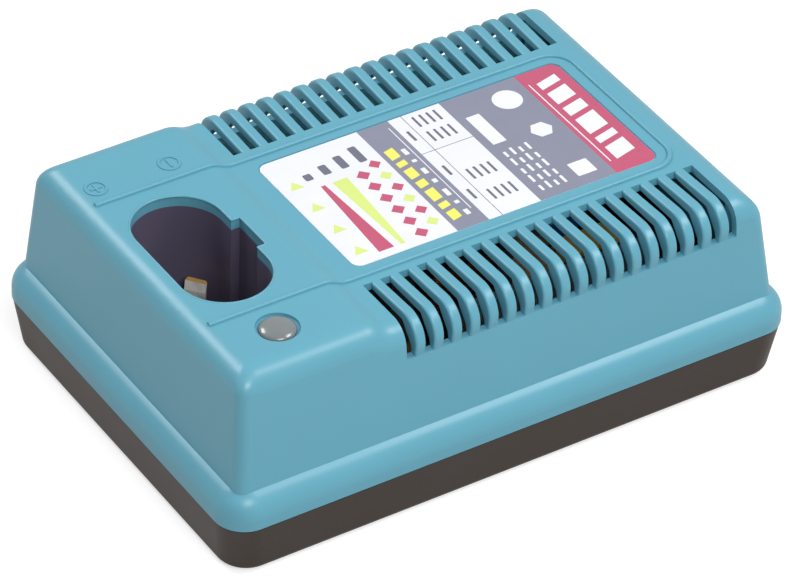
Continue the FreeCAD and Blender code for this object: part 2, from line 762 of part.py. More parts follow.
def make_lower_case():
    """The tray under the seam: drafted walls, screw posts, board standoffs, and the cord inlet."""
    height = S["seam_height"] - S["seam_gap"]
    rim_inset = S["seam_gap"] / 2
    outer = tray_block("tray_outside", rim_inset, height, S["plan_radius"], S["base_round"])
    inner = tray_block("tray_inside", rim_inset + S["wall"], height - S["floor"], S["plan_radius"] - S["wall"],
                       None)
    body = cut("tray", outer, inner)

    tongue_top = S["tongue_height"] + S["seam_gap"]
    tongue_low = UNDERSIDE + height - S["tongue_height"]
    rim = S["wall"] + S["fit_gap"]
    tongue = rounded_block("tongue", HALF_LENGTH - rim, HALF_WIDTH - rim, tongue_top + S["tongue_height"],
                           tongue_low, S["plan_radius"] - rim, None)
    hollow = rounded_block("tongue_inside", HALF_LENGTH - rim - S["tongue_width"],
                           HALF_WIDTH - rim - S["tongue_width"], tongue_top + S["tongue_height"] + 2.0,
                           tongue_low - 1.0, S["plan_radius"] - rim - S["tongue_width"], None)
    rim_ring = cut("tongue_ring", tongue, hollow)
    additions = [body, rim_ring]
    removals = []
    for index, (sx, sy) in enumerate([(sx, sy) for sx in SIDES for sy in SIDES]):
        x = S["case_screw_x"] * sx
        y = S["case_screw_y"] * sy
        additions.append(rod("post_%d" % index, S["post_radius"], SEAM - FLOOR_TOP + 0.5, x, y, FLOOR_TOP - 0.5))
        removals.append(rod("counterbore_%d" % index, S["case_screw_head"] + 0.4, S["counterbore_depth"] + 1.0,
                            x, y, UNDERSIDE - 1.0))
        removals.append(rod("post_hole_%d" % index, S["case_screw_radius"] + 0.3, SEAM, x, y, UNDERSIDE))
        removals.append(rod("foot_bed_%d" % index, S["foot_radius"] + S["fit_gap"], S["foot_recess"] + 1.0,
                            S["foot_x"] * sx, S["foot_y"] * sy, UNDERSIDE - 1.0))
        board_x = BOARD_SCREW_X[sx]
        additions.append(rod("standoff_%d" % index, S["small_screw_head"] + 0.4, S["standoff"] + 0.5,
                             board_x, S["board_screw_y"] * sy, FLOOR_TOP - 0.5))
        removals.append(rod("standoff_hole_%d" % index, S["small_screw_radius"] + S["screw_clearance"],
                            S["standoff"], board_x, S["board_screw_y"] * sy, FLOOR_TOP + 0.5))
    for index, side in enumerate(SIDES):
        y = S["clamp_half_span"] * side + S["gland_y"]
        additions.append(rod("clamp_post_%d" % index, S["small_screw_head"] + 0.4, S["gland_height"] - S["floor"]
                             + 2.0, S["clamp_x"], y, FLOOR_TOP - 0.5))
        removals.append(rod("clamp_hole_%d" % index, S["small_screw_radius"] + S["screw_clearance"], 6.0,
                            S["clamp_x"], y, UNDERSIDE + S["gland_height"] - 3.0))
    removals.append(rod("inlet_hole", S["gland_radius"] + 0.1, S["wall"] * 6, HALF_LENGTH - S["wall"] * 4,
                        S["gland_y"], UNDERSIDE + S["gland_height"], (Vector(0, 1, 0), 90)))
    removals.append(rod("inlet_seat", S["gland_flange"] + 0.1, S["wall"] * 2, inlet_face() - 0.6, S["gland_y"],
                        UNDERSIDE + S["gland_height"], (Vector(0, 1, 0), 90)))
    DOC.recompute()
    return keep(cut("lower_case", fuse("tray_solid", *additions), *removals), "lower_case")


def make_label():
    """The rating plate, thinner than the pocket that it lies in."""
    body = new_body("label_body")
    half = S["label_width"] / 2
    plate = outline(body, "label_outline", [(S["label_start_x"], -half), (S["label_end_x"], -half),
                                            (S["label_end_x"], half), (S["label_start_x"], half)],
                    offset=DECK - S["label_recess"])
    pad(body, plate, S["label_thickness"])
    body_fillet(body, "label_corners", S["label_radius"], is_upright)
    return keep(body, "label")


def make_lamp():
    """The domed lens, the rod that carries light up to it, and the diode on the board."""
    lens_top = PLATEAU - S["lamp_ring_depth"] + 0.3
    dome = SIZES["lens_dome"]
    radius = SIZES["lens_radius"]
    sphere_radius = (radius * radius + dome * dome) / (2.0 * dome)
    skirt = rod("lens_skirt_rod", S["lens_radius"], S["lens_skirt"], S["lamp_x"], LAMP_Y,
                lens_top - S["lens_skirt"])
    cap_blank = rod("lens_cap_rod", S["lens_radius"], S["lens_dome"] + 1.0, S["lamp_x"], LAMP_Y,
                    lens_top - 0.5)
    ball = DOC.addObject("Part::Sphere", "lens_ball")
    ball.Radius = sphere_radius
    put(ball, S["lamp_x"], LAMP_Y, lens_top + S["lens_dome"] - sphere_radius)
    cap = DOC.addObject("Part::MultiCommon", "lens_cap")
    cap.Shapes = [cap_blank, ball]
    lens_bore = rod("lens_bore", S["lens_radius"] - 1.2, S["lens_skirt"] - 1.0, S["lamp_x"], LAMP_Y,
                    lens_top - S["lens_skirt"] - 0.5)
    keep(cut("lamp_lens", fuse("lens_solid", skirt, cap), lens_bore), "lamp_lens")
    diode_top = BOARD_TOP + S["diode_height"]
    guide_top = lens_top - S["lens_skirt"] + 1.0
    guide = rod("guide_rod", S["guide_radius"], guide_top - diode_top - 0.4, S["lamp_x"], LAMP_Y,
                diode_top + 0.4)
    keep(rounded("light_guide", guide, lambda edge: 0.4 if edge.BoundBox.ZLength < 1e-6 else None),
         "light_guide")
    flange = rod("diode_flange", S["diode_radius"] + 0.4, 1.0, S["lamp_x"], LAMP_Y, BOARD_TOP + 0.6)
    shaft = rod("diode_shaft", S["diode_radius"], S["diode_height"] - S["diode_radius"] - 0.6, S["lamp_x"],
                LAMP_Y, BOARD_TOP + 0.6)
    tip = DOC.addObject("Part::Sphere", "diode_tip")
    bind(tip, "Radius", S["diode_radius"])
    put(tip, S["lamp_x"], LAMP_Y, diode_top - S["diode_radius"])
    legs = [box("diode_leg_%d" % index, 0.5, 0.5, 1.0, S["lamp_x"] + offset, LAMP_Y, BOARD_TOP)
            for index, offset in enumerate((-1.27, 0.0, 1.27))]
    keep(fuse("indicator_diode", flange, shaft, tip, *legs), "indicator_diode")


def blade_place(side):
    """Centre and facing angle of one power contact: it stands in the round end on that side of the
    socket, turned so that its face looks back towards the socket's middle."""
    bearing = math.radians(SIZES["blade_bearing"])
    x = SIZES["socket_x"] + SIZES["blade_reach"] * math.cos(bearing)
    y = SIZES["socket_y"] + side * (SIZES["socket_straight"] / 2.0 + SIZES["blade_reach"] * math.sin(bearing))
    return x, y, side * SIZES["blade_turn"]


def contact_spots():
    """Name, centre and facing angle of each contact."""
    positive = blade_place(1)
    negative = blade_place(-1)
    sensor = (SIZES["socket_x"] - SIZES["blade_reach"] + 0.4, SIZES["socket_y"], 180.0)
    return (("contact_positive",) + positive, ("contact_negative",) + negative, ("contact_sensor",) + sensor)


def upright_plate(thickness, width, low, high, spot):
    """A flat plate that faces along its spot's angle, between two heights."""
    x, y, degrees = spot
    plate = Part.makeBox(thickness, width, high - low, Vector(-thickness / 2.0, -width / 2.0, low))
    plate.rotate(Vector(), Vector(0, 0, 1), degrees)
    plate.translate(Vector(x, y, 0))
    return plate


def make_contacts():
    """The sprung contact blades, their fixed tails, and the block that holds them."""
    floor_z = SOCKET_FLOOR.value
    thickness = SIZES["blade_thickness"]
    slots = []
    tails = []
    for name, x, y, degrees in contact_spots():
        spot = (x, y, degrees)
        body = new_body(name + "_body")
        low = S["blade_root"] * -1.0
        bend = S["blade_height"] * 0.8
        lean = S["blade_thickness"] * 1.2
        half = S["blade_thickness"] / 2
        side = outline(body, name + "_side",
                       [(-half, low), (half, low), (half, bend), (half + lean, S["blade_height"]),
                        (-half + lean, S["blade_height"]), (-half, bend)], role="XZ_Plane")
        blade = pad(body, side, S["blade_width"])
        blade.Midplane = True
        body_fillet(body, name + "_corners", S["blade_thickness"],
                    lambda edge: edge.BoundBox.ZMin > SIZES["blade_height"] - 1e-3
                    and edge.BoundBox.YLength < 1e-3)
        body.Placement = FreeCAD.Placement(Vector(x, y, floor_z), FreeCAD.Rotation(Vector(0, 0, 1), degrees))
        keep(body, name)
        gap = 2 * SIZES["blade_slot_gap"]
        slots.append(upright_plate(thickness + gap, SIZES["blade_width"] + gap, BOARD_TOP.value - 1.0,
                                   floor_z + 1.0, spot))
        tails.append(upright_plate(thickness, SIZES["blade_width"] / 2.0, BOARD_TOP.value,
                                   BOARD_TOP.value + SIZES["tail_length"], spot))
    keep(shape_object("contact_tails", Part.makeCompound(tails)), "contact_tails")
    block = stadium("block_form", S["socket_radius"] - S["fit_gap"], S["socket_straight"],
                    SOCKET_FLOOR - BOARD_TOP, S["socket_x"], S["socket_y"], BOARD_TOP)
    keep(cut("terminal_block", block, shape_object("blade_slots", Part.makeCompound(slots))), "terminal_block")


def make_board():
    """The circuit board with its screw holes, its screws, and the sheet that insulates it below."""
    spots = [(BOARD_SCREW_X[sx], S["board_screw_y"] * sy) for sx in SIDES for sy in SIDES]
    length = S["board_end_x"] - S["board_start_x"]
    middle = (S["board_start_x"] + S["board_end_x"]) / 2
    blank = box("board_blank", length, S["board_y"] * 2, S["board_thickness"], middle, 0.0, BOARD_BOTTOM)
    holes = [rod("board_hole_%d" % index, S["small_screw_radius"] + 0.3, S["board_thickness"] * 3, x, y,
                 BOARD_BOTTOM - S["board_thickness"]) for index, (x, y) in enumerate(spots)]
    keep(cut("circuit_board", blank, *holes), "circuit_board")
    keep(group("board_screws", *[screw("board_screw_%d" % index, S["small_screw_radius"], S["small_screw_head"],
                                       1.6, S["standoff"] + 1.0, x, y, BOARD_TOP, upwards=False)
                                 for index, (x, y) in enumerate(spots)]), "board_screws")
    sheet = box("sheet_blank", length - 2.0, S["board_y"] * 2 - 2.0, S["sheet_thickness"], middle, 0.0,
                FLOOR_TOP)
    clear = [rod("sheet_hole_%d" % index, S["small_screw_head"] + 0.8, 4.0, x, y, FLOOR_TOP - 1.0)
             for index, (x, y) in enumerate(spots)]
    keep(cut("insulating_sheet", sheet, *clear), "insulating_sheet")


def make_fasteners():
    """The case screws and the rubber feet."""
    corners = [(sx, sy) for sx in SIDES for sy in SIDES]
    seat = UNDERSIDE + S["counterbore_depth"]
    keep(group("case_screws", *[screw("case_screw_%d" % index, S["case_screw_radius"], S["case_screw_head"], 2.4,
                                      S["case_screw_length"], S["case_screw_x"] * sx, S["case_screw_y"] * sy,
                                      seat) for index, (sx, sy) in enumerate(corners)]), "case_screws")
    names = {(-1, -1): "foot_front_near", (-1, 1): "foot_front_far", (1, -1): "foot_rear_near",
             (1, 1): "foot_rear_far"}
    for sx, sy in corners:
        name = names[(sx, sy)]
        disc = rod(name + "_disc", S["foot_radius"], S["foot_recess"] + S["foot_proud"], S["foot_x"] * sx,
                   S["foot_y"] * sy, 0.0)
        keep(rounded(name, disc, lambda edge: 0.4 if edge.BoundBox.ZMax < 1e-3 else None), name)


def make_cord_inlet():
    """The rubber bush in the rear wall, and the bar with its screws that would grip the cord."""
    turn = (Vector(0, 1, 0), 90)
    height = UNDERSIDE + S["gland_height"]
    outer_face = inlet_face()
    sleeve_start = outer_face - 9.0
    sleeve = rod("gland_sleeve", S["gland_radius"], 9.0, sleeve_start, S["gland_y"], height, turn)
    flange = rod("gland_flange", S["gland_flange"], 0.9, outer_face - 0.5, S["gland_y"], height, turn)
    collar = rod("gland_collar", S["gland_flange"], 1.2, outer_face - 6.4, S["gland_y"], height, turn)
    bore = rod("gland_bore", S["gland_bore"], 14.0, sleeve_start - 2.0, S["gland_y"], height, turn)
    keep(cut("cord_gland", fuse("gland_solid", sleeve, flange, collar), bore), "cord_gland")
    seat = UNDERSIDE + S["gland_height"] + 1.5
    bar = box("clamp_blank", S["clamp_width"], S["clamp_half_span"] * 2 + 6.0, 3.0, S["clamp_x"], S["gland_y"],
              seat)
    holes = [rod("clamp_bar_hole_%d" % index, S["small_screw_radius"] + 0.3, 6.0, S["clamp_x"],
                 S["clamp_half_span"] * side + S["gland_y"], seat - 1.0) for index, side in enumerate(SIDES)]
    keep(rounded("cord_clamp", cut("clamp_cut", bar, *holes),
                 lambda edge: 0.6 if is_upright(edge) and edge.Length > 2.9 and abs(edge.Curve.Direction.z) > 0.9
                 and edge.CenterOfMass.distanceToPoint(Vector(number(S["clamp_x"]), edge.CenterOfMass.y,
                                                              edge.CenterOfMass.z)) > 3.0 else None), "cord_clamp")
    keep(group("clamp_screws", *[screw("clamp_screw_%d" % index, S["small_screw_radius"], S["small_screw_head"], 1.6,
                                       7.0, S["clamp_x"], S["clamp_half_span"] * side + S["gland_y"], seat + 3.0,
                                       upwards=False) for index, side in enumerate(SIDES)]), "clamp_screws")


def wound_core(name, x, y, length, depth, height, leg, overhang):
    """A ferrite core with a middle leg, and a bobbin with its winding around that leg."""
    gap = S["coil_gap"]
    blank = box(name + "_blank", length, depth, height, x, y, BOARD_TOP + 1.0)
    window = (length - leg * 3.5) / 2
    tall = height - leg * 2
    windows = [box("%s_window_%d" % (name, index), window, depth + 2.0, tall,
                   (leg * 0.75 + window / 2) * side + x, y, leg + BOARD_TOP + 1.0)
               for index, side in enumerate(SIDES)]
    keep(cut(name + "_core", blank, *windows), name + "_core")
    flange = S["flange_thickness"]
    low = leg + gap + BOARD_TOP + 1.0
    inner_x = leg * 1.5 + gap * 2
    inner_y = depth + gap * 2
    outer_x = inner_x + (window - gap * 2) * 2
    outer_y = inner_y + overhang * 2
    flanges = [box("%s_flange_%d" % (name, index), outer_x, outer_y, flange, x, y, level)
               for index, level in enumerate((low, low + (tall - gap * 2) - flange))]
    sleeve = box(name + "_sleeve", inner_x + flange * 2, inner_y + flange * 2, tall - gap * 2, x, y, low)
    leg_hole = box(name + "_leg_hole", inner_x, inner_y, height, x, y, BOARD_TOP + 1.0)
    feet = [box("%s_foot_%d" % (name, index), outer_x - 2.0, 3.0, low - BOARD_TOP + 0.5, x,
                (outer_y / 2 - 1.6) * side + y, BOARD_TOP) for index, side in enumerate(SIDES)]
    keep(cut(name + "_bobbin", fuse(name + "_bobbin_solid", sleeve, *flanges, *feet), leg_hole), name + "_bobbin")
    coil = box(name + "_coil", outer_x - 1.2, outer_y - 1.2, tall - gap * 2 - flange * 2 - 0.2, x, y,
               low + flange + 0.1)
    coil = rounded(name + "_coil_round", coil, lambda edge: 3.0 if is_upright(edge) else None)
    hole = box(name + "_coil_hole", inner_x + flange * 2 + 0.2, inner_y + flange * 2 + 0.2, height, x, y, low)
    keep(cut(name + "_winding", coil, hole), name + "_winding")


def can(name, radius, height, x, y):
    """An electrolytic capacitor: a can with a rolled groove near its foot, on two legs."""
    can_z = BOARD_TOP + 0.5
    body = rod(name + "_can", radius, height, x, y, can_z)
    groove = DOC.addObject("Part::Torus", name + "_groove")
    bind(groove, "Radius1", radius + 0.2)
    bind(groove, "Radius2", S["can_groove"])
    put(groove, x, y, can_z + S["can_lead_offset"])
    legs = [box("%s_leg_%d" % (name, index), S["leg"], S["leg"], 1.0, x + S["can_lead_offset"] * side, y, BOARD_TOP)
            for index, side in enumerate(SIDES)]
    rolled = cut(name + "_rolled", body, groove)
    rim = number(can_z + height) - 1e-3
    topped = rounded(name + "_topped", rolled, lambda edge: 0.6 if edge.BoundBox.ZMin > rim else None)
    return fuse(name, topped, *legs)


def package(name, x, face_y):
    """A power semiconductor standing against the heatsink: moulding, metal tab and three legs."""
    lift = BOARD_TOP + S["package_lift"]
    tab = box(name + "_tab", S["package_width"], S["package_tab_thickness"], S["package_tab_height"], x,
              face_y + S["package_tab_thickness"] / 2, lift)
    moulding = box(name + "_moulding", S["package_width"], S["package_depth"], S["package_height"], x,
                   face_y + S["package_depth"] / 2, lift)
    legs = [box("%s_leg_%d" % (name, index), S["leg"], S["leg"], S["package_lift"] + 0.5,
                x + S["package_pitch"] * offset, face_y + S["package_depth"] / 2 + 0.2, BOARD_TOP)
            for index, offset in enumerate((-1, 0, 1))]
    hole = rod(name + "_hole", S["small_screw_radius"] + 0.35, S["package_tab_thickness"] * 4, x,
               face_y + S["package_tab_thickness"] * 2, BOARD_TOP + S["package_hole_height"], (Vector(1, 0, 0), 90))
    return cut(name, fuse(name + "_solid", tab, moulding, *legs), hole)


def make_power_parts():
    """Heatsink, the two power semiconductors that it cools, and their screws."""
    body = new_body("heatsink_body")
    plate = S["heatsink_plate"]
    fin = S["fin_thickness"]
    x0 = S["heatsink_x"] - S["heatsink_length"] / 2
    fins = int(SIZES["heatsink_length"] / SIZES["fin_pitch"])
    back = S["heatsink_y"] - S["fin_depth"] + plate
    face = S["heatsink_y"] + plate
    points = [(x0, face), (x0, back)]
    for index in range(fins):
        fin_x = x0 + S["fin_pitch"] * index
        points += [(fin_x + fin, back), (fin_x + fin, S["heatsink_y"]),
                   (fin_x + S["fin_pitch"], S["heatsink_y"]), (fin_x + S["fin_pitch"], back)]
    end = x0 + S["fin_pitch"] * fins + fin
    points += [(end, back), (end, face)]
    pad(body, outline(body, "heatsink_comb", points, offset=BOARD_TOP + 0.2), S["heatsink_height"])
    spots = [S["heatsink_x"] + S["package_spacing"] / 2 * side for side in SIDES]
    hole_z = BOARD_TOP + S["package_hole_height"]
    DOC.recompute()
    bores = [rod("heatsink_bore_%d" % index, S["small_screw_radius"] + S["screw_clearance"], plate + 2.0, x,
                 face + 1.0, hole_z, (Vector(1, 0, 0), 90)) for index, x in enumerate(spots)]
    keep(cut("heatsink", body, *bores), "heatsink")
    for name, x in zip(("switching_transistor", "output_rectifier"), spots):
        keep(package(name, x, face + 0.1), name)
    screws = []
    for index, x in enumerate(spots):
        turn = (Vector(1, 0, 0), 90)
        seat = face + 0.1 + S["package_tab_thickness"] + 0.1
        shank = rod("power_shank_%d" % index, S["small_screw_radius"], plate + 0.8, x, seat + 0.1, hole_z, turn)
        head = rod("power_head_%d" % index, S["small_screw_head"], 1.6, x, seat + 1.6, hole_z, turn)
        screws.append(fuse("power_screw_%d" % index, shank, head))
    keep(group("heatsink_screws", *screws), "heatsink_screws")


def make_small_parts():
    """The rest of what stands on the board."""
    keep(can("bulk_capacitor", S["bulk_radius"], S["bulk_height"], S["bulk_x"], S["bulk_y"]), "bulk_capacitor")
    output_y = S["output_y"] * -1
    keep(group("output_capacitors", *[can("output_can_%d" % index, S["output_radius"], S["output_height"],
                                          S["output_x"], output_y + S["output_spacing"] * index)
                                      for index in range(2)]), "output_capacitors")
    filter_box = box("filter_box", S["filter_length"], S["filter_depth"], S["filter_height"], S["filter_x"],
                     S["filter_offset"] * -1, BOARD_TOP)
    keep(rounded("line_filter_capacitor", filter_box,
                 lambda edge: 0.8 if edge.BoundBox.ZMin > BOARD_TOP.value or is_upright(edge) else None),
         "line_filter_capacitor")
    middle_y = S["varistor_offset"] - S["varistor_thickness"] / 2
    disc = rod("varistor_disc", S["varistor_radius"], S["varistor_thickness"], S["filter_x"], S["varistor_offset"],
               BOARD_TOP + S["varistor_axis_height"], (Vector(1, 0, 0), 90))
    legs = [box("varistor_leg_%d" % index, S["leg"], S["leg"], S["varistor_axis_height"] - 1.5,
                S["filter_x"] + 3.0 * side, middle_y, BOARD_TOP) for index, side in enumerate(SIDES)]
    keep(fuse("varistor", disc, *legs), "varistor")
    bridge = box("bridge_moulding", S["bridge_length"], S["bridge_depth"], S["bridge_height"], S["bridge_x"],
                 S["bridge_y"], BOARD_TOP + S["bridge_lift"])
    pins = [box("bridge_pin_%d" % index, S["leg"], S["leg"], S["bridge_lift"] + 0.5,
                S["bridge_x"] + S["bridge_pitch"] * (index - 1.5), S["bridge_y"], BOARD_TOP) for index in range(4)]
    keep(fuse("bridge_rectifier", bridge, *pins), "bridge_rectifier")
    make_fuse()
    chip = box("chip_moulding", S["chip_length"], S["chip_width"], S["chip_height"], S["chip_x"], S["chip_offset"],
               BOARD_TOP + 0.6)
    feet = [box("chip_leg_%d_%d" % (index, side), 0.5, 1.0, 2.2, S["chip_x"] + S["chip_pitch"] * (index - 3.5),
                (S["chip_width"] / 2 + 0.3) * side + S["chip_offset"], BOARD_TOP)
            for index in range(8) for side in SIDES]
    keep(fuse("controller_chip", chip, *feet), "controller_chip")


def make_fuse():
    """The glass fuse with its end caps, lying in two sprung clips."""
    along = (Vector(0, 1, 0), 90)
    axis_z = BOARD_TOP + S["fuse_axis_height"]
    start = S["fuse_start_x"]
    cap_starts = (start, start + (S["fuse_length"] - S["fuse_cap_length"]))
    tube = rod("fuse_tube", S["fuse_radius"], S["fuse_length"], start, S["fuse_y"], axis_z, along)
    caps = [rod("fuse_cap_%d" % index, S["fuse_cap_radius"], S["fuse_cap_length"], x, S["fuse_y"], axis_z, along)
            for index, x in enumerate(cap_starts)]
    keep(fuse("fuse", tube, *caps), "fuse")
    clips = []
    for index, x in enumerate(cap_starts):
        middle = x + S["fuse_cap_length"] / 2
        cradle = box("clip_cradle_%d" % index, S["clip_length"], S["clip_width"], S["clip_height"], middle,
                     S["fuse_y"], BOARD_TOP)
        bed = rod("clip_bed_%d" % index, S["fuse_cap_radius"] + 0.15, S["clip_length"] * 2,
                  middle - S["clip_length"], S["fuse_y"], axis_z, along)
        mouth = box("clip_mouth_%d" % index, S["clip_length"] * 2, S["clip_mouth"], S["clip_height"], middle,
                    S["fuse_y"], axis_z)
        clips.append(cut("clip_%d" % index, cradle, bed, mouth))
    keep(group("fuse_clips", *clips), "fuse_clips")


def check_and_export():
    """Stop on any failed object or shape, then write one file for each sub-part."""
    DOC.recompute()
    for item in DOC.Objects:
        if "Invalid" in item.State or "Error" in item.State:
            raise RuntimeError("%s failed: %s" % (item.Label, item.State))
    os.makedirs("parts", exist_ok=True)
    for item in PARTS:
        shape = item.Shape
        if shape.isNull() or not shape.isValid() or shape.Volume <= 0:
            raise RuntimeError("%s has no valid shape" % item.Label)
        print("%-24s %2d solids %10.1f mm3" % (item.Label, len(shape.Solids), shape.Volume))
        shape.exportStep(os.path.join("parts", item.Label + ".step"))
    print("%d sub-parts" % len(PARTS))


make_upper_case()
make_socket_sleeve()
make_lower_case()
make_label()
make_lamp()
make_contacts()
make_board()
make_fasteners()
make_cord_inlet()
wound_core("transformer", S["core_x"], Size(0.0, "0"), S["core_length"], S["core_depth"], S["core_height"],
           S["core_leg"], S["coil_overhang"])
wound_core("line_choke", S["choke_x"], S["choke_offset"] * -1, S["choke_length"], S["choke_depth"],
           S["choke_height"], S["choke_leg"], S["choke_overhang"])
make_power_parts()
make_small_parts()
check_and_export()
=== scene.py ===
"""Looks of a power tool battery charger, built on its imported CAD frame.

Lengths are in metres, and +X runs from the socket end to the rear end, -Y is the side with the
lamp and +Z is up.
"""
import logging
import math
from dataclasses import dataclass, field
from enum import Enum

import bpy
import numpy as np
from mathutils import Matrix, Vector


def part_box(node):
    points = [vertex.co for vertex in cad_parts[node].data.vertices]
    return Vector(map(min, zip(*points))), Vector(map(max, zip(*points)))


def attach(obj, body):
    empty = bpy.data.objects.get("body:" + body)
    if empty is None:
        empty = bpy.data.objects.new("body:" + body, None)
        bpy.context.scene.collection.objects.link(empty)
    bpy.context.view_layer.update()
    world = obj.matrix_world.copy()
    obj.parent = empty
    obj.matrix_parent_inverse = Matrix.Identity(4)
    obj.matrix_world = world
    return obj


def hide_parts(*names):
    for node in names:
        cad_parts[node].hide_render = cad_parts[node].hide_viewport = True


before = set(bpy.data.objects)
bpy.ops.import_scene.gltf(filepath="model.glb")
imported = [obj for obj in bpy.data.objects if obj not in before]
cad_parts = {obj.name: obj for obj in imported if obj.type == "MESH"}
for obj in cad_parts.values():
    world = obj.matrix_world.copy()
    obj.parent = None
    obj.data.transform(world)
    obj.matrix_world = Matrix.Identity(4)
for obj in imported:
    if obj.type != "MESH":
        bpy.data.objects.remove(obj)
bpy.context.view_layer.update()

MM = 0.001
BODY = "charger"
LOG = logging.getLogger("charger")
MOTTLE_SCALE = 120.0
WHITE_LIGHT = (1.0, 1.0, 1.0, 1.0)
OBJECT_MIDDLE = Vector((0.0, 0.0, 0.03))


# Colour and node helpers

def linear(code: str) -> tuple[float, float, float, float]:
    """Turns an sRGB hex colour into Blender's linear colour.

    Args:
        code: a colour such as "#69A7B6".

    Returns:
        Red, green, blue and an alpha of one.
    """
    parts = np.array([int(code[place:place + 2], 16) for place in (1, 3, 5)]) / 255.0
    curved = np.where(parts <= 0.04045, parts / 12.92, ((parts + 0.055) / 1.055) ** 2.4)
    return (*curved.tolist(), 1.0)


def shaded(code: str, factor: float) -> tuple[float, float, float, float]:
    """The linear colour of a hex code, made lighter or darker.

    Args:
        code: a colour such as "#69A7B6".
        factor: what red, green and blue are multiplied by.

    Returns:
        Red, green, blue and an alpha of one.
    """
    red, green, blue, alpha = linear(code)
    return (red * factor, green * factor, blue * factor, alpha)


def add(tree: bpy.types.NodeTree, kind: str, settings: dict | None = None,
        links: dict | None = None) -> bpy.types.Node:
    """Adds a node with its settings and links.

    Args:
        tree: the node tree.
        kind: the node's type.
        settings: values for its inputs, by name or number, or for its own attributes.
        links: the sockets that feed its inputs, by name or number.

    Returns:
        The new node.
    """
    node = tree.nodes.new(kind)
    for name, value in (settings or {}).items():
        if isinstance(name, int) or name in node.inputs:
            node.inputs[name].default_value = value
        else:
            setattr(node, name, value)
    for name, socket in (links or {}).items():
        tree.links.new(socket, node.inputs[name])
    return node


# Finishes

@dataclass(frozen=True)
class Finish:
    """A surface finish: its name, its main colour and its roughness."""

    name: str
    colour: str
    roughness: float
    ior: float = 1.5
    metallic: float = 0.0

    def detail(self, tree: bpy.types.NodeTree, shader: bpy.types.Node, place: bpy.types.NodeSocket) -> None:
        """Adds the finish's own pattern; a plain finish has only a faint mottle.

        Args:
            tree: the material's node tree.
            shader: its Principled shader.
            place: Object coordinates in metres.
        """
        cloud = add(tree, "ShaderNodeTexNoise", {"Scale": MOTTLE_SCALE, "Detail": 3.0}, {"Vector": place})
        tone = add(tree, "ShaderNodeMix", {"data_type": "RGBA", 6: shaded(self.colour, 0.94),
                                           7: shaded(self.colour, 1.04)}, {0: cloud.outputs["Fac"]})
        tree.links.new(tone.outputs[2], shader.inputs["Base Color"])

    def material(self) -> bpy.types.Material:
        """Makes the material once, and finds it again later.

        Returns:
            The material.
        """
        made = bpy.data.materials.get(self.name)
        if made:
            return made
        made = bpy.data.materials.new(self.name)
        made.use_nodes = True
        made.diffuse_color = linear(self.colour)
        tree = made.node_tree
        shader = tree.nodes["Principled BSDF"]
        shader.inputs["Base Color"].default_value = linear(self.colour)
        shader.inputs["Roughness"].default_value = self.roughness
        shader.inputs["Metallic"].default_value = self.metallic
        if not self.metallic:
            shader.inputs["IOR"].default_value = self.ior
        place = add(tree, "ShaderNodeTexCoord").outputs["Object"]
        self.detail(tree, shader, place)
        return made

    def dress(self, thing: bpy.types.Object) -> bpy.types.Object:
        """Puts the material on every slot of an object.

        Args:
            thing: the object.

        Returns:
            The same object.
        """
        if not thing.data.materials:
            thing.data.materials.append(None)
        for holder in thing.material_slots:
            holder.material = self.material()
        return thing


@dataclass(frozen=True)
class MouldedPlastic(Finish):
    """Injection-moulded plastic: the tool's surface gives a fine grain, and the melt's flow a slow
    change of tone and gloss."""

    grain_mm: float = 0.5
    grain_depth_mm: float = 0.01
    flow_mm: float = 18.0
    tone: float = 0.03
    gloss_change: float = 0.05

    def detail(self, tree: bpy.types.NodeTree, shader: bpy.types.Node, place: bpy.types.NodeSocket) -> None:
        """Grain as bump, and flow as tone and roughness."""
        flow = add(tree, "ShaderNodeTexNoise", {"Scale": 1.0 / (self.flow_mm * MM), "Detail": 2.0},
                   {"Vector": place})
        tone = add(tree, "ShaderNodeMix", {"data_type": "RGBA", 6: shaded(self.colour, 1.0 - self.tone),
                                           7: shaded(self.colour, 1.0 + self.tone)},
                   {0: flow.outputs["Fac"]})
        gloss = add(tree, "ShaderNodeMapRange", {"To Min": self.roughness - self.gloss_change,
                                                 "To Max": self.roughness + self.gloss_change},
                    {"Value": flow.outputs["Fac"]})
        grain = add(tree, "ShaderNodeTexNoise", {"Scale": 1.0 / (self.grain_mm * MM), "Detail": 4.0,
                                                 "Roughness": 0.6}, {"Vector": place})
        bump = add(tree, "ShaderNodeBump", {"Strength": 1.0, "Distance": self.grain_depth_mm * MM},
                   {"Height": grain.outputs["Fac"]})
        tree.links.new(tone.outputs[2], shader.inputs["Base Color"])
        tree.links.new(gloss.outputs["Result"], shader.inputs["Roughness"])
        tree.links.new(bump.outputs["Normal"], shader.inputs["Normal"])


@dataclass(frozen=True)
class OpalAcrylic(Finish):
    """Milky acrylic: light goes in a little way and comes back grey-white, under a polished skin."""

    depth_mm: float = 1.5
    scatter: float = 0.6
    coat: float = 0.6
    coat_roughness: float = 0.12

    def detail(self, tree: bpy.types.NodeTree, shader: bpy.types.Node, place: bpy.types.NodeSocket) -> None:
        """Scattering below the skin, and faint clouds in the milk."""
        super().detail(tree, shader, place)
        shader.inputs["Subsurface Weight"].default_value = self.scatter
        shader.inputs["Subsurface Scale"].default_value = self.depth_mm * MM
        shader.inputs["Coat Weight"].default_value = self.coat
        shader.inputs["Coat Roughness"].default_value = self.coat_roughness


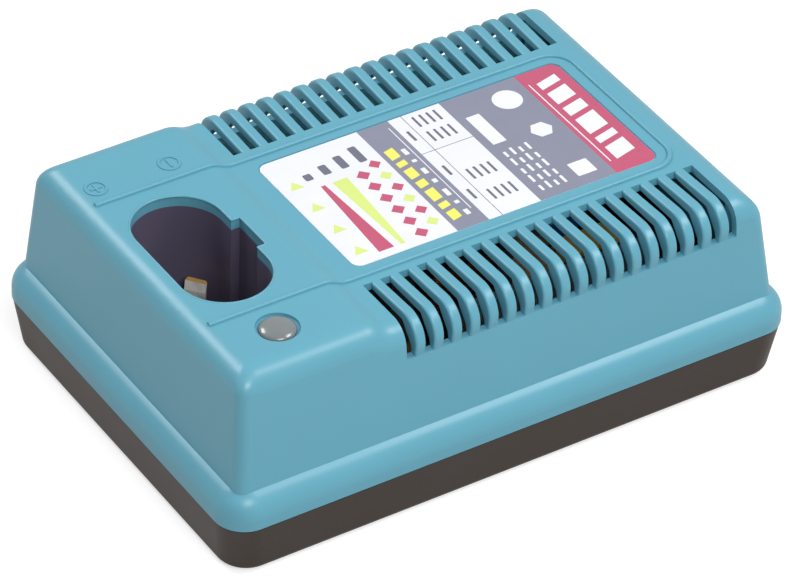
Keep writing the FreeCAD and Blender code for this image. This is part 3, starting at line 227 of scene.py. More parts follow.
@dataclass(frozen=True)
class PrintedFilm(Finish):
    """Screen-printed polyester film: even colour, a slight orange peel and a soft gloss."""

    peel_mm: float = 2.0
    peel_depth_mm: float = 0.01
    peel_strength: float = 0.6

    def detail(self, tree: bpy.types.NodeTree, shader: bpy.types.Node, place: bpy.types.NodeSocket) -> None:
        """Orange peel as bump, and a tone that hardly changes."""
        super().detail(tree, shader, place)
        peel = add(tree, "ShaderNodeTexNoise", {"Scale": 1.0 / (self.peel_mm * MM), "Detail": 1.0},
                   {"Vector": place})
        bump = add(tree, "ShaderNodeBump", {"Strength": self.peel_strength, "Distance": self.peel_depth_mm * MM},
                   {"Height": peel.outputs["Fac"]})
        tree.links.new(bump.outputs["Normal"], shader.inputs["Normal"])


@dataclass(frozen=True)
class PlatedMetal(Finish):
    """Stamped or turned metal with thin plating: fine drawn lines and a tarnish in patches."""

    tarnish: str = "#8A7F68"
    line_mm: float = 0.25
    line_depth_mm: float = 0.008
    line_strength: float = 0.5
    patch_mm: float = 4.0
    patch_start: float = 0.5
    patch_full: float = 0.75
    tarnish_share: float = 0.5

    def detail(self, tree: bpy.types.NodeTree, shader: bpy.types.Node, place: bpy.types.NodeSocket) -> None:
        """Drawn lines as bump, stretched along X, and tarnish as colour."""
        patch = add(tree, "ShaderNodeTexNoise", {"Scale": 1.0 / (self.patch_mm * MM), "Detail": 3.0},
                    {"Vector": place})
        dull = add(tree, "ShaderNodeMapRange", {"From Min": self.patch_start, "From Max": self.patch_full,
                                                "To Max": self.tarnish_share}, {"Value": patch.outputs["Fac"]})
        tone = add(tree, "ShaderNodeMix", {"data_type": "RGBA", 6: linear(self.colour), 7: linear(self.tarnish)},
                   {0: dull.outputs["Result"]})
        stretch = add(tree, "ShaderNodeMapping", {"Scale": (0.1, 1.0, 1.0)}, {"Vector": place})
        lines = add(tree, "ShaderNodeTexNoise", {"Scale": 1.0 / (self.line_mm * MM)},
                    {"Vector": stretch.outputs["Vector"]})
        bump = add(tree, "ShaderNodeBump", {"Strength": self.line_strength, "Distance": self.line_depth_mm * MM},
                   {"Height": lines.outputs["Fac"]})
        tree.links.new(tone.outputs[2], shader.inputs["Base Color"])
        tree.links.new(bump.outputs["Normal"], shader.inputs["Normal"])


@dataclass(frozen=True)
class TippedBlade(PlatedMetal):
    """A contact blade whose rubbing tip is plated a second time, in gold, above a given height."""

    tip: str = "#E3B75C"
    tip_height: float = 0.0372
    tip_fade: float = 0.2 * MM

    def detail(self, tree: bpy.types.NodeTree, shader: bpy.types.Node, place: bpy.types.NodeSocket) -> None:
        """The drawn metal of its parent, with the gold laid over it by Object height."""
        super().detail(tree, shader, place)
        under = shader.inputs["Base Color"].links[0].from_socket
        height = add(tree, "ShaderNodeSeparateXYZ", None, {"Vector": place}).outputs["Z"]
        edge = add(tree, "ShaderNodeMapRange", {"From Min": self.tip_height - self.tip_fade,
                                                "From Max": self.tip_height + self.tip_fade}, {"Value": height})
        tone = add(tree, "ShaderNodeMix", {"data_type": "RGBA", 7: linear(self.tip)},
                   {0: edge.outputs["Result"], 6: under})
        tree.links.new(tone.outputs[2], shader.inputs["Base Color"])


@dataclass(frozen=True)
class PaperLaminate(Finish):
    """Resin-bonded paper board: brown, with fibre flecks pressed into it."""

    fleck_mm: float = 1.2
    contrast: float = 0.25

    def detail(self, tree: bpy.types.NodeTree, shader: bpy.types.Node, place: bpy.types.NodeSocket) -> None:
        """Flecks stretched along the board's length."""
        stretch = add(tree, "ShaderNodeMapping", {"Scale": (0.25, 1.0, 1.0)}, {"Vector": place})
        fleck = add(tree, "ShaderNodeTexNoise", {"Scale": 1.0 / (self.fleck_mm * MM), "Detail": 5.0},
                    {"Vector": stretch.outputs["Vector"]})
        tone = add(tree, "ShaderNodeMix", {"data_type": "RGBA", 6: shaded(self.colour, 1.0 - self.contrast),
                                           7: shaded(self.colour, 1.0 + self.contrast)},
                   {0: fleck.outputs["Fac"]})
        tree.links.new(tone.outputs[2], shader.inputs["Base Color"])


@dataclass(frozen=True)
class ClearGlass(Finish):
    """Drawn soda glass, clear."""

    clearness: float = 0.9

    def detail(self, tree: bpy.types.NodeTree, shader: bpy.types.Node, place: bpy.types.NodeSocket) -> None:
        """Light goes through it."""
        shader.inputs["Transmission Weight"].default_value = self.clearness


TEAL_ABS = MouldedPlastic("abs_moulded_teal", "#60A2B6", 0.34, 1.46, grain_mm=0.7, grain_depth_mm=0.008)
DARK_ABS = MouldedPlastic("abs_spark_eroded_brown", "#2A1B10", 0.45, 1.5, grain_mm=0.7, grain_depth_mm=0.06,
                          tone=0.12)
# The socket sleeve's dark plum colour is painted shade: it stands in for the shadow deep in the socket well.
SLEEVE_PAINTED_SHADE = MouldedPlastic("abs_plum_painted_well_shade", "#5B5468", 0.4, 1.53, grain_mm=0.5, tone=0.06)
BLACK_NYLON = MouldedPlastic("nylon_moulded_black", "#1E1D1E", 0.5, 1.53, grain_mm=0.4, grain_depth_mm=0.02)
SOFT_RUBBER = MouldedPlastic("rubber_moulded_black", "#232324", 0.75, 1.52, grain_mm=0.5, grain_depth_mm=0.03)
BLACK_EPOXY = MouldedPlastic("epoxy_moulded_black", "#191A1C", 0.6, 1.55, grain_mm=0.2, grain_depth_mm=0.02)
YELLOW_BOX = MouldedPlastic("polyester_box_yellow", "#C8A436", 0.45, 1.55, grain_mm=0.4, grain_depth_mm=0.01)
BLUE_DIP = MouldedPlastic("epoxy_dipped_blue", "#2A5FA8", 0.3, 1.55, grain_mm=1.2, grain_depth_mm=0.03)
BLUE_SLEEVE = MouldedPlastic("pvc_shrink_sleeve_navy", "#232E4E", 0.35, 1.53, grain_mm=1.0, tone=0.05)
FIBRE = MouldedPlastic("vulcanised_fibre_grey", "#8E887A", 0.7, 1.5, grain_mm=0.8, grain_depth_mm=0.02, tone=0.1)
FERRITE = MouldedPlastic("ferrite_sintered", "#34353A", 0.5, 1.9, grain_mm=0.3, grain_depth_mm=0.03)
OPAL = OpalAcrylic("acrylic_opal_grey", "#7C8284", 0.22, 1.49)
FILM = PrintedFilm("polyester_film_white", "#E6E8EF", 0.32, 1.57)
NICKEL = PlatedMetal("brass_nickel_plated", "#C9C6BE", 0.28, metallic=1.0)
BLADE = TippedBlade("brass_nickel_and_gold", "#F0EEE6", 0.5, metallic=0.35)
ZINC = PlatedMetal("steel_zinc_plated", "#B9BCC0", 0.35, metallic=1.0, tarnish="#85837A")
ALUMINIUM = PlatedMetal("aluminium_extruded", "#D2D4D6", 0.4, metallic=1.0, tarnish="#A9ABAE", line_mm=0.4)
COPPER = PlatedMetal("copper_enamelled", "#B4622F", 0.25, metallic=1.0, tarnish="#8C4522", line_mm=0.5)
BOARD = PaperLaminate("paper_laminate_brown", "#9B7A4A", 0.5, 1.55)
GLASS = ClearGlass("soda_glass_clear", "#EAF0EF", 0.05, 1.52)


class Ink(Enum):
    """The label's printing inks."""

    GREY = PrintedFilm("ink_grey", "#85889A", 0.34, 1.55)
    ROSE = PrintedFilm("ink_rose", "#BE5573", 0.34, 1.55)
    LIME = PrintedFilm("ink_lime", "#D3E583", 0.34, 1.55)
    YELLOW = PrintedFilm("ink_yellow", "#EFE86A", 0.34, 1.55)
    WHITE = PrintedFilm("ink_white", "#E9EBF1", 0.34, 1.55)
    SLATE = PrintedFilm("ink_slate", "#6B6E7E", 0.34, 1.55)


# Surfaces from numpy grids

def add_object(name: str, points: np.ndarray, faces: list, smooth: bool = True) -> bpy.types.Object:
    """Puts points and faces into a new object that sits at the origin.

    Args:
        name: the object's name.
        points: an array of corners, three numbers each.
        faces: lists of corner numbers.
        smooth: whether the faces are shaded smooth.

    Returns:
        The object.
    """
    mesh = bpy.data.meshes.new(name)
    mesh.from_pydata(points.reshape(-1, 3).tolist(), [], faces)
    mesh.update()
    mesh.polygons.foreach_set("use_smooth", np.full(len(mesh.polygons), smooth))
    thing = bpy.data.objects.new(name, mesh)
    bpy.context.collection.objects.link(thing)
    return thing


def ring_faces(rows: int, columns: int, around_rows: bool = False) -> list:
    """Quads of a grid whose columns close on themselves.

    Args:
        rows: how many rows of points there are.
        columns: how many points a row has.
        around_rows: whether the last row joins the first too.

    Returns:
        Lists of four corner numbers.
    """
    last = rows if around_rows else rows - 1
    row, column = np.meshgrid(np.arange(last), np.arange(columns), indexing="ij")
    after = (row + 1) % rows
    beside = (column + 1) % columns
    corners = [row * columns + column, row * columns + beside, after * columns + beside, after * columns + column]
    return np.stack(corners, axis=-1).reshape(-1, 4).tolist()


def layered(level: np.ndarray, heights: np.ndarray) -> np.ndarray:
    """Gives each row of (x, y) points its own height.

    Args:
        level: rows of (x, y) points.
        heights: one height for each row.

    Returns:
        The same rows as (x, y, z) points.
    """
    return np.concatenate([level, np.broadcast_to(heights[:, None, None], (*level.shape[:2], 1))], axis=-1)


def turned(name: str, radii: np.ndarray, heights: np.ndarray, centre: tuple[float, float],
           steps: int = 96) -> bpy.types.Object:
    """A turned shape: the profile (radius, height) swept once round an upright axis.

    Point = centre + radius * (cos a, sin a), with a from 0 to a full turn. The first and last
    rows are closed by one face each.

    Args:
        name: the object's name.
        radii: the profile's radii, from the foot up.
        heights: the profile's heights.
        centre: where the axis stands, in X and Y.
        steps: how many points go round.

    Returns:
        The object.
    """
    angle = np.linspace(0.0, 2.0 * np.pi, steps, endpoint=False)
    across = radii[:, None] * np.cos(angle)
    along = radii[:, None] * np.sin(angle)
    points = np.stack([centre[0] + across, centre[1] + along, np.broadcast_to(heights[:, None], across.shape)], -1)
    rows = len(radii)
    faces = ring_faces(rows, steps)
    faces.append(list(range(steps - 1, -1, -1)))
    faces.append(list(range((rows - 1) * steps, rows * steps)))
    return add_object(name, points, faces)


def slabs(name: str, outlines: list[np.ndarray], low: float, high: float) -> bpy.types.Object:
    """Flat plates with straight sides, one for each outline, all in one object.

    Args:
        name: the object's name.
        outlines: arrays of (x, y) corners, counter-clockwise seen from above.
        low: the height of the undersides.
        high: the height of the tops.

    Returns:
        The object.
    """
    points = []
    faces = []
    start = 0
    for outline in outlines:
        count = len(outline)
        points += [np.column_stack([outline, np.full(count, height)]) for height in (low, high)]
        ring = np.arange(count)
        beside = (ring + 1) % count
        sides = np.stack([ring, beside, beside + count, ring + count], axis=-1) + start
        faces += sides.tolist()
        faces.append((ring[::-1] + start).tolist())
        faces.append((ring + count + start).tolist())
        start += count * 2
    return add_object(name, np.concatenate(points), faces, smooth=False)


def rounded_box(x0: float, y0: float, x1: float, y1: float, radii: tuple = (0.0,) * 4) -> np.ndarray:
    """The outline of a rectangle with a quarter circle at each corner.

    The corners go counter-clockwise from (x0, y0), and each has its own radius:
    point = corner + inward * radius + radius * (cos a, sin a) over its quarter turn.

    Args:
        x0, y0: the low corner.
        x1, y1: the high corner.
        radii: one radius for each corner, or zero for a sharp one.

    Returns:
        The outline's (x, y) points.
    """
    corners = np.array([[x0, y0], [x1, y0], [x1, y1], [x0, y1]])
    inward = np.array([[1.0, 1.0], [-1.0, 1.0], [-1.0, -1.0], [1.0, -1.0]])
    runs = []
    for turn, (corner, inner, radius) in enumerate(zip(corners, inward, radii)):
        steps = 10 if radius else 1
        angle = np.linspace(0.0, np.pi / 2, steps) + np.pi + turn * np.pi / 2
        arc = np.column_stack([np.cos(angle), np.sin(angle)])
        runs.append(corner + inner * radius + arc * radius)
    return np.concatenate(runs)


def polygon(x: float, y: float, radius: float, sides: int, turn: float = 0.0) -> np.ndarray:
    """A regular polygon: point = centre + radius * (cos a, sin a), with a in equal steps.

    Args:
        x, y: the centre.
        radius: how far out the corners lie.
        sides: how many sides it has.
        turn: where the first corner lies, in degrees from +X.

    Returns:
        The outline's (x, y) points.
    """
    angle = np.radians(turn) + np.arange(sides) * 2.0 * np.pi / sides
    return np.column_stack([x + radius * np.cos(angle), y + radius * np.sin(angle)])


def leaning(x0: float, y0: float, x1: float, y1: float, lean: float) -> np.ndarray:
    """A parallelogram: a rectangle whose high-X side is slid along Y.

    Args:
        x0, y0: the low corner.
        x1, y1: the high corner, before it is slid.
        lean: how far it is slid.

    Returns:
        The outline's four (x, y) points.
    """
    return np.array([[x0, y0], [x1, y0 + lean], [x1, y1 + lean], [x0, y1]])


def swept(name: str, path: np.ndarray, outward: np.ndarray, reach: np.ndarray, heights: np.ndarray
          ) -> bpy.types.Object:
    """A closed section carried round a closed level path.

    Point = path(u) + outward(u) * reach(v), at height(v), with u along the path and v round the
    section.

    Args:
        name: the object's name.
        path: (x, y) points of the path, counter-clockwise.
        outward: the outward direction at each of them.
        reach: how far out each corner of the section lies.
        heights: the height of each corner of the section.

    Returns:
        The object.
    """
    points = layered(path[None, :, :] + outward[None, :, :] * reach[:, None, None], heights)
    return add_object(name, points, ring_faces(len(reach), len(path), around_rows=True))


def outward_of(path: np.ndarray) -> np.ndarray:
    """The outward normals of a closed counter-clockwise path, from the chord between neighbours.

    Args:
        path: the path's (x, y) points.

    Returns:
        One unit vector for each point.
    """
    chord = np.roll(path, -1, axis=0) - np.roll(path, 1, axis=0)
    normal = np.column_stack([chord[:, 1], -chord[:, 0]])
    return normal / np.linalg.norm(normal, axis=1, keepdims=True)


def fixed(thing: bpy.types.Object, finish: Finish, slot: str, *nodes: str) -> bpy.types.Object:
    """Dresses a piece, fixes it to the charger's body, and lets it stand for CAD nodes.

    Args:
        thing: the piece.
        finish: its finish.
        slot: the name of a material slot; not used.
        nodes: the CAD nodes that it replaces, if any.

    Returns:
        The piece.
    """
    finish.dress(thing)
    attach(thing, BODY)
    if nodes:
        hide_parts(*nodes)
    LOG.info("%s: %d faces, %s", thing.name, len(thing.data.polygons), finish.name)
    return thing


def dress_nodes(finishes: dict[str, Finish]) -> None:
    """Gives CAD nodes that keep their shape their finishes.

    Args:
        finishes: the finish of each node, by the node's name.
    """
    for node, finish in finishes.items():
        finish.dress(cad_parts[node])
        LOG.info("%s keeps its CAD shape, %s", node, finish.name)


# Sub-assemblies

@dataclass
class Case:
    """The moulded case: vented upper half, dark tray, battery sleeve and feet."""

    # The socket sleeve's finish is painted shade for the deep socket well.
    finishes: dict[str, Finish] = field(default_factory=lambda: {
        "upper_case": TEAL_ABS, "lower_case": DARK_ABS, "socket_sleeve": SLEEVE_PAINTED_SHADE,
        "foot_front_near": SOFT_RUBBER, "foot_front_far": SOFT_RUBBER, "foot_rear_near": SOFT_RUBBER,
        "foot_rear_far": SOFT_RUBBER, "case_screws": ZINC, "cord_gland": SOFT_RUBBER,
        "cord_clamp": BLACK_NYLON, "clamp_screws": ZINC})

    def build(self) -> None:
        """Dresses the case's nodes."""
        dress_nodes(self.finishes)


@dataclass
class SocketMouth:
    """The rounded bead round the battery socket's mouth, a stadium with a key notch on its +X side."""

    centre: tuple[float, float] = (-66.5 * MM, -0.75 * MM)
    radius: float = 14.0 * MM
    straight: float = 24.3 * MM
    key_depth: float = 2.8 * MM
    key_width: float = 14.3 * MM
    bead: float = 0.42 * MM
    overhang: float = 0.35
    sink: float = 0.55
    line_rise: float = 0.8 * MM

    def outline(self) -> np.ndarray:
        """The mouth's edge: two half circles, a straight side, and the notch's three sides, with
        points less than a millimetre apart.

        Returns:
            Its (x, y) points, counter-clockwise.
        """
        angle = np.linspace(0.0, np.pi, 72)
        half = self.straight / 2
        far = np.column_stack([np.cos(angle), np.sin(angle)]) * self.radius + (0.0, half)
        near = np.column_stack([np.cos(angle + np.pi), np.sin(angle + np.pi)]) * self.radius - (0.0, half)
        x, y = self.radius, self.key_width / 2
        corners = np.array([near[-1], [x, -y], [x + self.key_depth, -y], [x + self.key_depth, y], [x, y], far[0]])
        share = np.linspace(0.0, 1.0, 16, endpoint=False)[:, None]
        notch = np.concatenate([one + (other - one) * share for one, other in zip(corners, corners[1:])])
        flank = far[-1] + (near[0] - far[-1]) * np.linspace(0.0, 1.0, 48, endpoint=False)[:, None]
        return np.concatenate([far[:-1], flank, near[:-1], notch]) + self.centre

    def build(self) -> None:
        """Carries a round bead along the edge: reach = b (cos a + overhang), and height = b sin a about
        a centre that lies a little under the plateau."""
        path = self.outline()
        turn = np.linspace(0.0, 2 * np.pi, 16, endpoint=False)
        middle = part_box("upper_case")[1][2] - self.line_rise - self.bead * self.sink
        bead = swept("mouth_bead", path, outward_of(path), self.bead * (np.cos(turn) + self.overhang),
                     middle + self.bead * np.sin(turn))
        fixed(bead, TEAL_ABS, "case_abs_teal")


@dataclass
class Winding:
    """A coil of enamelled wire round a square former, laid turn on turn. The builds are how thick the
    coil is on its X and Y sides."""

    node: str
    build_x: float
    build_y: float
    wire: float
    corner: float = 3.0 * MM
    steps_per_turn: int = 8
    least_steps: int = 16

    def build(self) -> None:
        """Carries the section round the former; its outer side draws in between the turns:
        swell = wire / 4 * (|sin(pi * height / wire)| - 1)."""
        low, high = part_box(self.node)
        inner = rounded_box(low[0] + self.build_x, low[1] + self.build_y, high[0] - self.build_x,
                            high[1] - self.build_y, (self.wire,) * 4)
        outer = rounded_box(low[0], low[1], high[0], high[1], (self.corner,) * 4)
        climb = np.linspace(low[2], high[2], max(int((high[2] - low[2]) / self.wire * self.steps_per_turn),
                                                  self.least_steps))
        swell = self.wire / 4 * (np.abs(np.sin(np.pi * (climb - low[2]) / self.wire)) - 1.0)
        share = np.concatenate([[0.0], np.ones(len(climb)), [0.0]])
        heights = np.concatenate([[low[2]], climb, [high[2]]])
        swells = np.concatenate([[0.0], swell, [0.0]])
        span = outer - inner
        unit = span / np.linalg.norm(span, axis=1, keepdims=True)
        points = layered(inner[None] + span[None] * share[:, None, None] + unit[None] * swells[:, None, None],
                         heights)
        coil = add_object(self.node + "_turns", points, ring_faces(len(heights), len(inner), around_rows=True))
        fixed(coil, COPPER, "winding_copper", self.node)


@dataclass
class RatingLabel:
    """A printed film with zones of colour and plain geometric motifs; it carries no words.

    Its print is laid out in millimetres, and build() turns that into metres.
    """

    ink_thickness: float = 0.02 * MM
    corner: float = 3.0 * MM
    band_start: float = 2.0
    table_start: float = 12.6
    grey_start: float = 30.2
    rose_start: float = 56.4
    half: float = 27.2
    soft: tuple[float, ...] = (0.2,) * 4
    softer: tuple[float, ...] = (0.3,) * 4
    round_end: tuple[float, ...] = (0.6,) * 4
    prints: dict[Ink, list[np.ndarray]] = field(default_factory=lambda: {ink: [] for ink in Ink})

    def stamp(self, ink: Ink, *outlines: np.ndarray) -> None:
        """Adds outlines to what an ink prints."""
        self.prints[ink].extend(outlines)

    def zones(self, end: float) -> None:
        """The large fields of colour across the film.

        Args:
            end: the film's high end along X, in millimetres.
        """
        corner = self.corner / MM
        self.stamp(Ink.GREY, rounded_box(self.band_start, -self.half, self.table_start, self.half),
                   rounded_box(self.grey_start, -self.half, self.rose_start, self.half))
        self.stamp(Ink.ROSE, rounded_box(self.rose_start, -self.half, end, self.half, (0.0, corner, corner, 0.0)))

    def legend(self) -> None:
        """Triangles, two wedges, rows of diamonds and a stair of bars, as a charge gauge."""
        wedge_foot, wedge_top, stair_foot = -24.2, 10.0, 14.0
        for y in (-21.0, -9.5, 2.0, 13.5):
            self.stamp(Ink.LIME, polygon(-26.8, y, 2.5, 3, 90.0))
        self.stamp(Ink.ROSE, np.array([[-22.4, wedge_foot], [-17.4, wedge_foot], [-19.2, wedge_top],
                                       [-20.6, wedge_top]]))
        self.stamp(Ink.LIME, np.array([[-15.0, wedge_foot], [-13.6, wedge_foot], [-11.8, wedge_top],
                                       [-16.8, wedge_top]]))
        for index, y in enumerate(np.linspace(-22.5, 8.5, 6)):
            self.stamp(Ink.ROSE, polygon(-7.2, y, 2.3, 4))
            self.stamp(Ink.ROSE if index % 2 else Ink.LIME, polygon(-1.6, y + 2.9, 2.1, 4))
        for index, x in enumerate((-21.5, -15.5, -9.5, -3.5)):
            length = 3.0 + 1.6 * index
            self.stamp(Ink.SLATE, rounded_box(x - 1.3, stair_foot, x + 1.3, stair_foot + length, self.round_end))

    def band(self) -> None:
        """A heavy row of yellow bars beside a thin row of white ones, along the grey band."""
        y, gap, lean = -22.5, 1.7, 0.7
        for width in (4.2, 2.6, 5.4, 3.2, 4.6, 2.4, 4.8):
            self.stamp(Ink.YELLOW, leaning(3.6, y, 6.9, y + width, lean))
            self.stamp(Ink.WHITE, rounded_box(8.4, y + 0.4, 9.9, y + width * 0.7, self.soft))
            y += width + gap
        self.stamp(Ink.WHITE, rounded_box(10.9, -20.0, 11.2, 24.0))

    def table(self) -> None:
        """Thin rules and short ticks of print."""
        self.stamp(Ink.SLATE, rounded_box(17.0, -self.half, 17.2, self.half),
                   rounded_box(self.table_start, 8.4, self.grey_start, 8.6))
        for x in (19.4, 21.8, 24.2, 26.6):
            for y in (-20.0, -9.0, 12.0, 20.0):
                self.stamp(Ink.SLATE, rounded_box(x, y, x + 0.8, y + 5.2, self.soft))
        for y in (-17.0, -4.0, 15.0):
            self.stamp(Ink.SLATE, rounded_box(14.4, y, 15.3, y + 5.0, self.soft))

    def grey_field(self) -> None:
        """A blank white panel, a disc, a square, a hexagon and rows of small bars."""
        self.stamp(Ink.WHITE, rounded_box(33.0, 2.0, 37.6, 17.0, self.softer), polygon(48.6, 18.6, 4.6, 48),
                   rounded_box(46.0, -23.0, 52.4, -16.6, self.softer), polygon(49.2, 1.4, 3.6, 6))
        for row, x in enumerate((33.2, 35.8, 38.4, 41.0)):
            for index, y in enumerate(np.arange(-23.4, -4.0, 4.6)):
                long = 2.6 + 0.9 * ((index + row) % 2)
                self.stamp(Ink.WHITE, rounded_box(x, y, x + 0.9, y + long, self.soft))

    def end_field(self) -> None:
        """Broad leaning white bars across the rose field, with a thin rule."""
        start, gap, lean = -21.5, 2.2, 1.8
        y = start
        for width in (6.4, 3.0, 8.0, 4.4, 6.0, 3.4):
            self.stamp(Ink.WHITE, leaning(60.2, y, 67.6, y + width, lean))
            y += width + gap
        self.stamp(Ink.WHITE, rounded_box(57.8, start, 58.2, -start))

    def build(self) -> None:
        """Makes the film and one piece of print for each ink. The inks that lie on the fields are twice
        as thick as the fields."""
        low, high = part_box("label")
        film = slabs("label_film", [rounded_box(low[0], low[1], high[0], high[1], (self.corner,) * 4)],
                     low[2], high[2])
        fixed(film, FILM, "label_film", "label")
        self.zones(high[0] / MM)
        self.legend()
        self.band()
        self.table()
        self.grey_field()
        self.end_field()
        fields = (Ink.GREY, Ink.ROSE)
        for ink, outlines in self.prints.items():
            layers = 1 if ink in fields else 2
            piece = slabs("label_print_" + ink.name.lower(), [shape * MM for shape in outlines], high[2],
                          high[2] + self.ink_thickness * layers)
            fixed(piece, ink.value, "label_film")


@dataclass
class ChargeLamp:
    """The lamp on top of the socket end: an opal dome, its light guide and diode."""

    dome_rise: float = 1.7 * MM
    skirt_gap: float = 0.1 * MM
    foot_share: float = 0.6
    crown_share: float = 0.995
    rows: int = 24

    def build(self) -> None:
        """Turns the dome: a skirt, then an ellipse quarter, radius = r cos t, height = rise sin t."""
        low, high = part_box("lamp_lens")
        centre = ((low[0] + high[0]) / 2, (low[1] + high[1]) / 2)
        radius = (high[0] - low[0]) / 2
        shoulder = high[2] - self.dome_rise
        t = np.linspace(0.0, np.pi / 2 * self.crown_share, self.rows)
        radii = np.concatenate([[radius * self.foot_share, radius, radius], radius * np.cos(t)])
        heights = np.concatenate([[low[2], low[2], shoulder - self.skirt_gap],
                                  shoulder + self.dome_rise * np.sin(t)])
        fixed(turned("lamp_dome", radii, heights, centre), OPAL, "lens_acrylic", "lamp_lens")
        dress_nodes({"light_guide": OPAL, "indicator_diode": OPAL})


@dataclass
class Contacts:
    """The sprung blades in the socket, with their block and fixed tails."""

    finishes: dict[str, Finish] = field(default_factory=lambda: {
        "contact_positive": BLADE, "contact_negative": BLADE, "contact_sensor": BLADE, "contact_tails": NICKEL,
        "terminal_block": BLACK_NYLON})

    def build(self) -> None:
        """Dresses the contacts' nodes."""
        dress_nodes(self.finishes)


@dataclass
class PowerBoard:
    """The circuit board and what stands on it."""

    finishes: dict[str, Finish] = field(default_factory=lambda: {
        "circuit_board": BOARD, "board_screws": ZINC, "insulating_sheet": FIBRE,
        "transformer_core": FERRITE, "transformer_bobbin": BLACK_NYLON, "line_choke_core": FERRITE,
        "line_choke_bobbin": BLACK_NYLON, "heatsink": ALUMINIUM, "switching_transistor": BLACK_EPOXY,
        "output_rectifier": BLACK_EPOXY, "heatsink_screws": ZINC, "bulk_capacitor": BLUE_SLEEVE,
        "output_capacitors": BLUE_SLEEVE, "line_filter_capacitor": YELLOW_BOX, "varistor": BLUE_DIP,
        "bridge_rectifier": BLACK_EPOXY, "fuse": GLASS, "fuse_clips": NICKEL, "controller_chip": BLACK_EPOXY})
    windings: tuple[Winding, ...] = (Winding("transformer_winding", 4.5 * MM, 6.1 * MM, 0.9 * MM),
                                     Winding("line_choke_winding", 1.1 * MM, 1.1 * MM, 0.5 * MM))

    def build(self) -> None:
        """Dresses the board's nodes and winds the coils."""
        dress_nodes(self.finishes)
        for winding in self.windings:
            winding.build()


# Studio

def direction(azimuth: float, elevation: float) -> Vector:
    """The way from the object to a camera or a lamp.

    Args:
        azimuth: in radians, from -Y towards +X.
        elevation: in radians, above the floor.

    Returns:
        A unit vector.
    """
    return Vector((math.sin(azimuth) * math.cos(elevation), -math.cos(azimuth) * math.cos(elevation),
                   math.sin(elevation)))


@dataclass(frozen=True)
class PhotoCamera:
    """The photograph's viewpoint: a long lens, as its weak perspective shows."""

    azimuth: float = -33.50
    elevation: float = 38.01
    roll: float = 1.99
    distance: float = 1.55194
    target: tuple[float, float, float] = (-0.00049, -0.00235, 0.02506)
    lens_mm: float = 241.19
    sensor_mm: float = 36.0
    nearest: float = 0.05
    farthest: float = 20.0

    def build(self) -> None:
        """Makes the camera from its angles, its distance and the point that it looks at."""
        azimuth, elevation, roll = (math.radians(angle) for angle in (self.azimuth, self.elevation, self.roll))
        back = direction(azimuth, elevation)
        level = (-back).cross(Vector((0.0, 0.0, 1.0))).normalized()
        upright = level.cross(-back)
        right = math.cos(roll) * level + math.sin(roll) * upright
        up = -math.sin(roll) * level + math.cos(roll) * upright
        lens = bpy.data.cameras.new("photo_camera")
        lens.lens = self.lens_mm
        lens.sensor_width = self.sensor_mm
        lens.sensor_fit = "HORIZONTAL"
        lens.clip_start = self.nearest
        lens.clip_end = self.farthest
        camera = bpy.data.objects.new("photo_camera", lens)
        turn = Matrix((right, up, back)).transposed().to_4x4()
        camera.matrix_world = Matrix.Translation(Vector(self.target) + back * self.distance) @ turn
        bpy.context.collection.objects.link(camera)
        bpy.context.scene.camera = camera


@dataclass(frozen=True)
class SoftBox:
    """A rectangular area lamp that faces the object."""

    name: str
    azimuth: float
    elevation: float
    distance: float
    width: float
    height: float
    watts: float

    def build(self) -> None:
        """Places the lamp on a sphere round the object, turned to its middle."""
        back = direction(math.radians(self.azimuth), math.radians(self.elevation))
        lamp = bpy.data.lights.new(self.name, "AREA")
        lamp.shape = "RECTANGLE"
        lamp.size = self.width
        lamp.size_y = self.height
        lamp.energy = self.watts
        holder = bpy.data.objects.new(self.name, lamp)
        holder.location = back * self.distance + OBJECT_MIDDLE
        holder.rotation_euler = back.to_track_quat("Z", "Y").to_euler()
        bpy.context.collection.objects.link(holder)


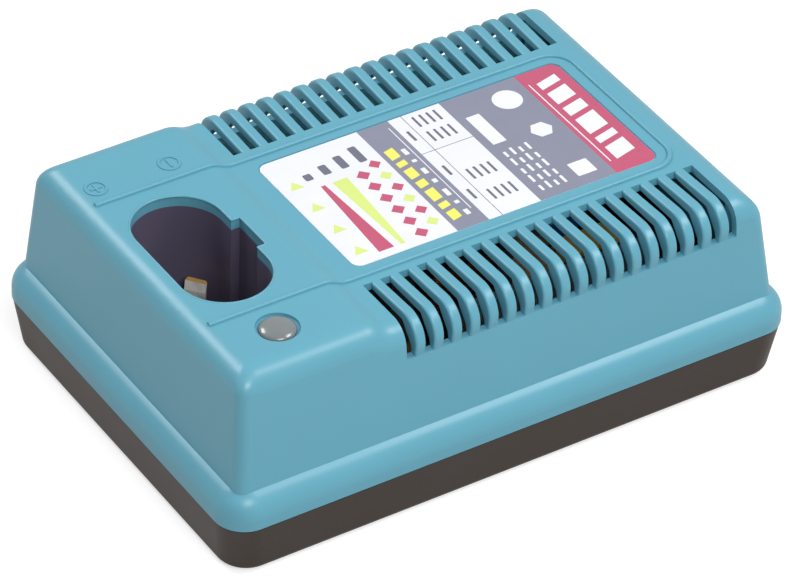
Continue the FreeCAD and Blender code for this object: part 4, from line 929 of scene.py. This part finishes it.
@dataclass(frozen=True)
class Studio:
    """A pale floor, an even sky and soft lamps."""

    floor_half: float = 2.5
    floor_top: float = -0.02 * MM
    floor_foot: float = -2.0 * MM
    floor_roughness: float = 0.9
    sky: float = 0.3
    floor_paper: str = "#BCBCBC"
    floor_lift: float = 0.62
    gloss_share: float = 0.4
    lamps: tuple[SoftBox, ...] = (
        SoftBox("key_lamp", -15.0, 44.0, 1.25, 0.6, 0.45, 8.0),
        SoftBox("front_edge_lamp", -155.0, 42.0, 1.2, 0.5, 0.4, 5.6),
        SoftBox("side_edge_lamp", 58.0, 54.0, 1.2, 0.5, 0.4, 6.4),
    )

    def seen(self, tree: bpy.types.NodeTree) -> bpy.types.NodeSocket:
        """One for rays from the camera or through glass, a share for gloss, and nothing for the rest.

        Args:
            tree: the node tree of the floor's material or of the world.

        Returns:
            The socket with that value.
        """
        path = add(tree, "ShaderNodeLightPath")
        gloss = add(tree, "ShaderNodeMath", {"operation": "MULTIPLY", 1: self.gloss_share},
                    {0: path.outputs["Is Glossy Ray"]})
        first = add(tree, "ShaderNodeMath", {"operation": "MAXIMUM"},
                    {0: path.outputs["Is Camera Ray"], 1: gloss.outputs[0]})
        return add(tree, "ShaderNodeMath", {"operation": "MAXIMUM"},
                   {0: first.outputs[0], 1: path.outputs["Is Transmission Ray"]}).outputs[0]

    def build_floor(self) -> None:
        """A white sheet that shows a little lighter than it is lit, and keeps the object's shadow."""
        reach = self.floor_half
        floor = slabs("studio_floor", [rounded_box(-reach, -reach, reach, reach)], self.floor_foot,
                      self.floor_top)
        paper = bpy.data.materials.new("paper_backdrop_white")
        paper.use_nodes = True
        tree = paper.node_tree
        shader = tree.nodes["Principled BSDF"]
        shader.inputs["Base Color"].default_value = linear(self.floor_paper)
        shader.inputs["Roughness"].default_value = self.floor_roughness
        shader.inputs["Emission Color"].default_value = WHITE_LIGHT
        lift = add(tree, "ShaderNodeMath", {"operation": "MULTIPLY", 1: self.floor_lift}, {0: self.seen(tree)})
        tree.links.new(lift.outputs[0], shader.inputs["Emission Strength"])
        floor.data.materials.append(paper)

    def build_sky(self) -> None:
        """An even world: white where it is seen, and dimmer as a light."""
        world = bpy.data.worlds.new("studio_sky")
        world.use_nodes = True
        tree = world.node_tree
        shown = add(tree, "ShaderNodeMapRange", {"To Min": self.sky, "To Max": 1.0}, {"Value": self.seen(tree)})
        sheet = tree.nodes["Background"]
        sheet.inputs["Color"].default_value = WHITE_LIGHT
        tree.links.new(shown.outputs["Result"], sheet.inputs["Strength"])
        bpy.context.scene.world = world

    def build(self) -> None:
        """Makes the floor, the sky and the lamps."""
        self.build_floor()
        self.build_sky()
        for lamp in self.lamps:
            lamp.build()
        bpy.context.scene.view_settings.view_transform = "Standard"


def main() -> None:
    """Builds the camera, the studio and every sub-assembly in order."""
    logging.basicConfig(level=logging.INFO, format="%(message)s")
    for part in (PhotoCamera(), Studio(), Case(), SocketMouth(), RatingLabel(), ChargeLamp(), Contacts(),
                 PowerBoard()):
        part.build()
        LOG.info("built %s", type(part).__name__)


if __name__ == "__main__":
    main()
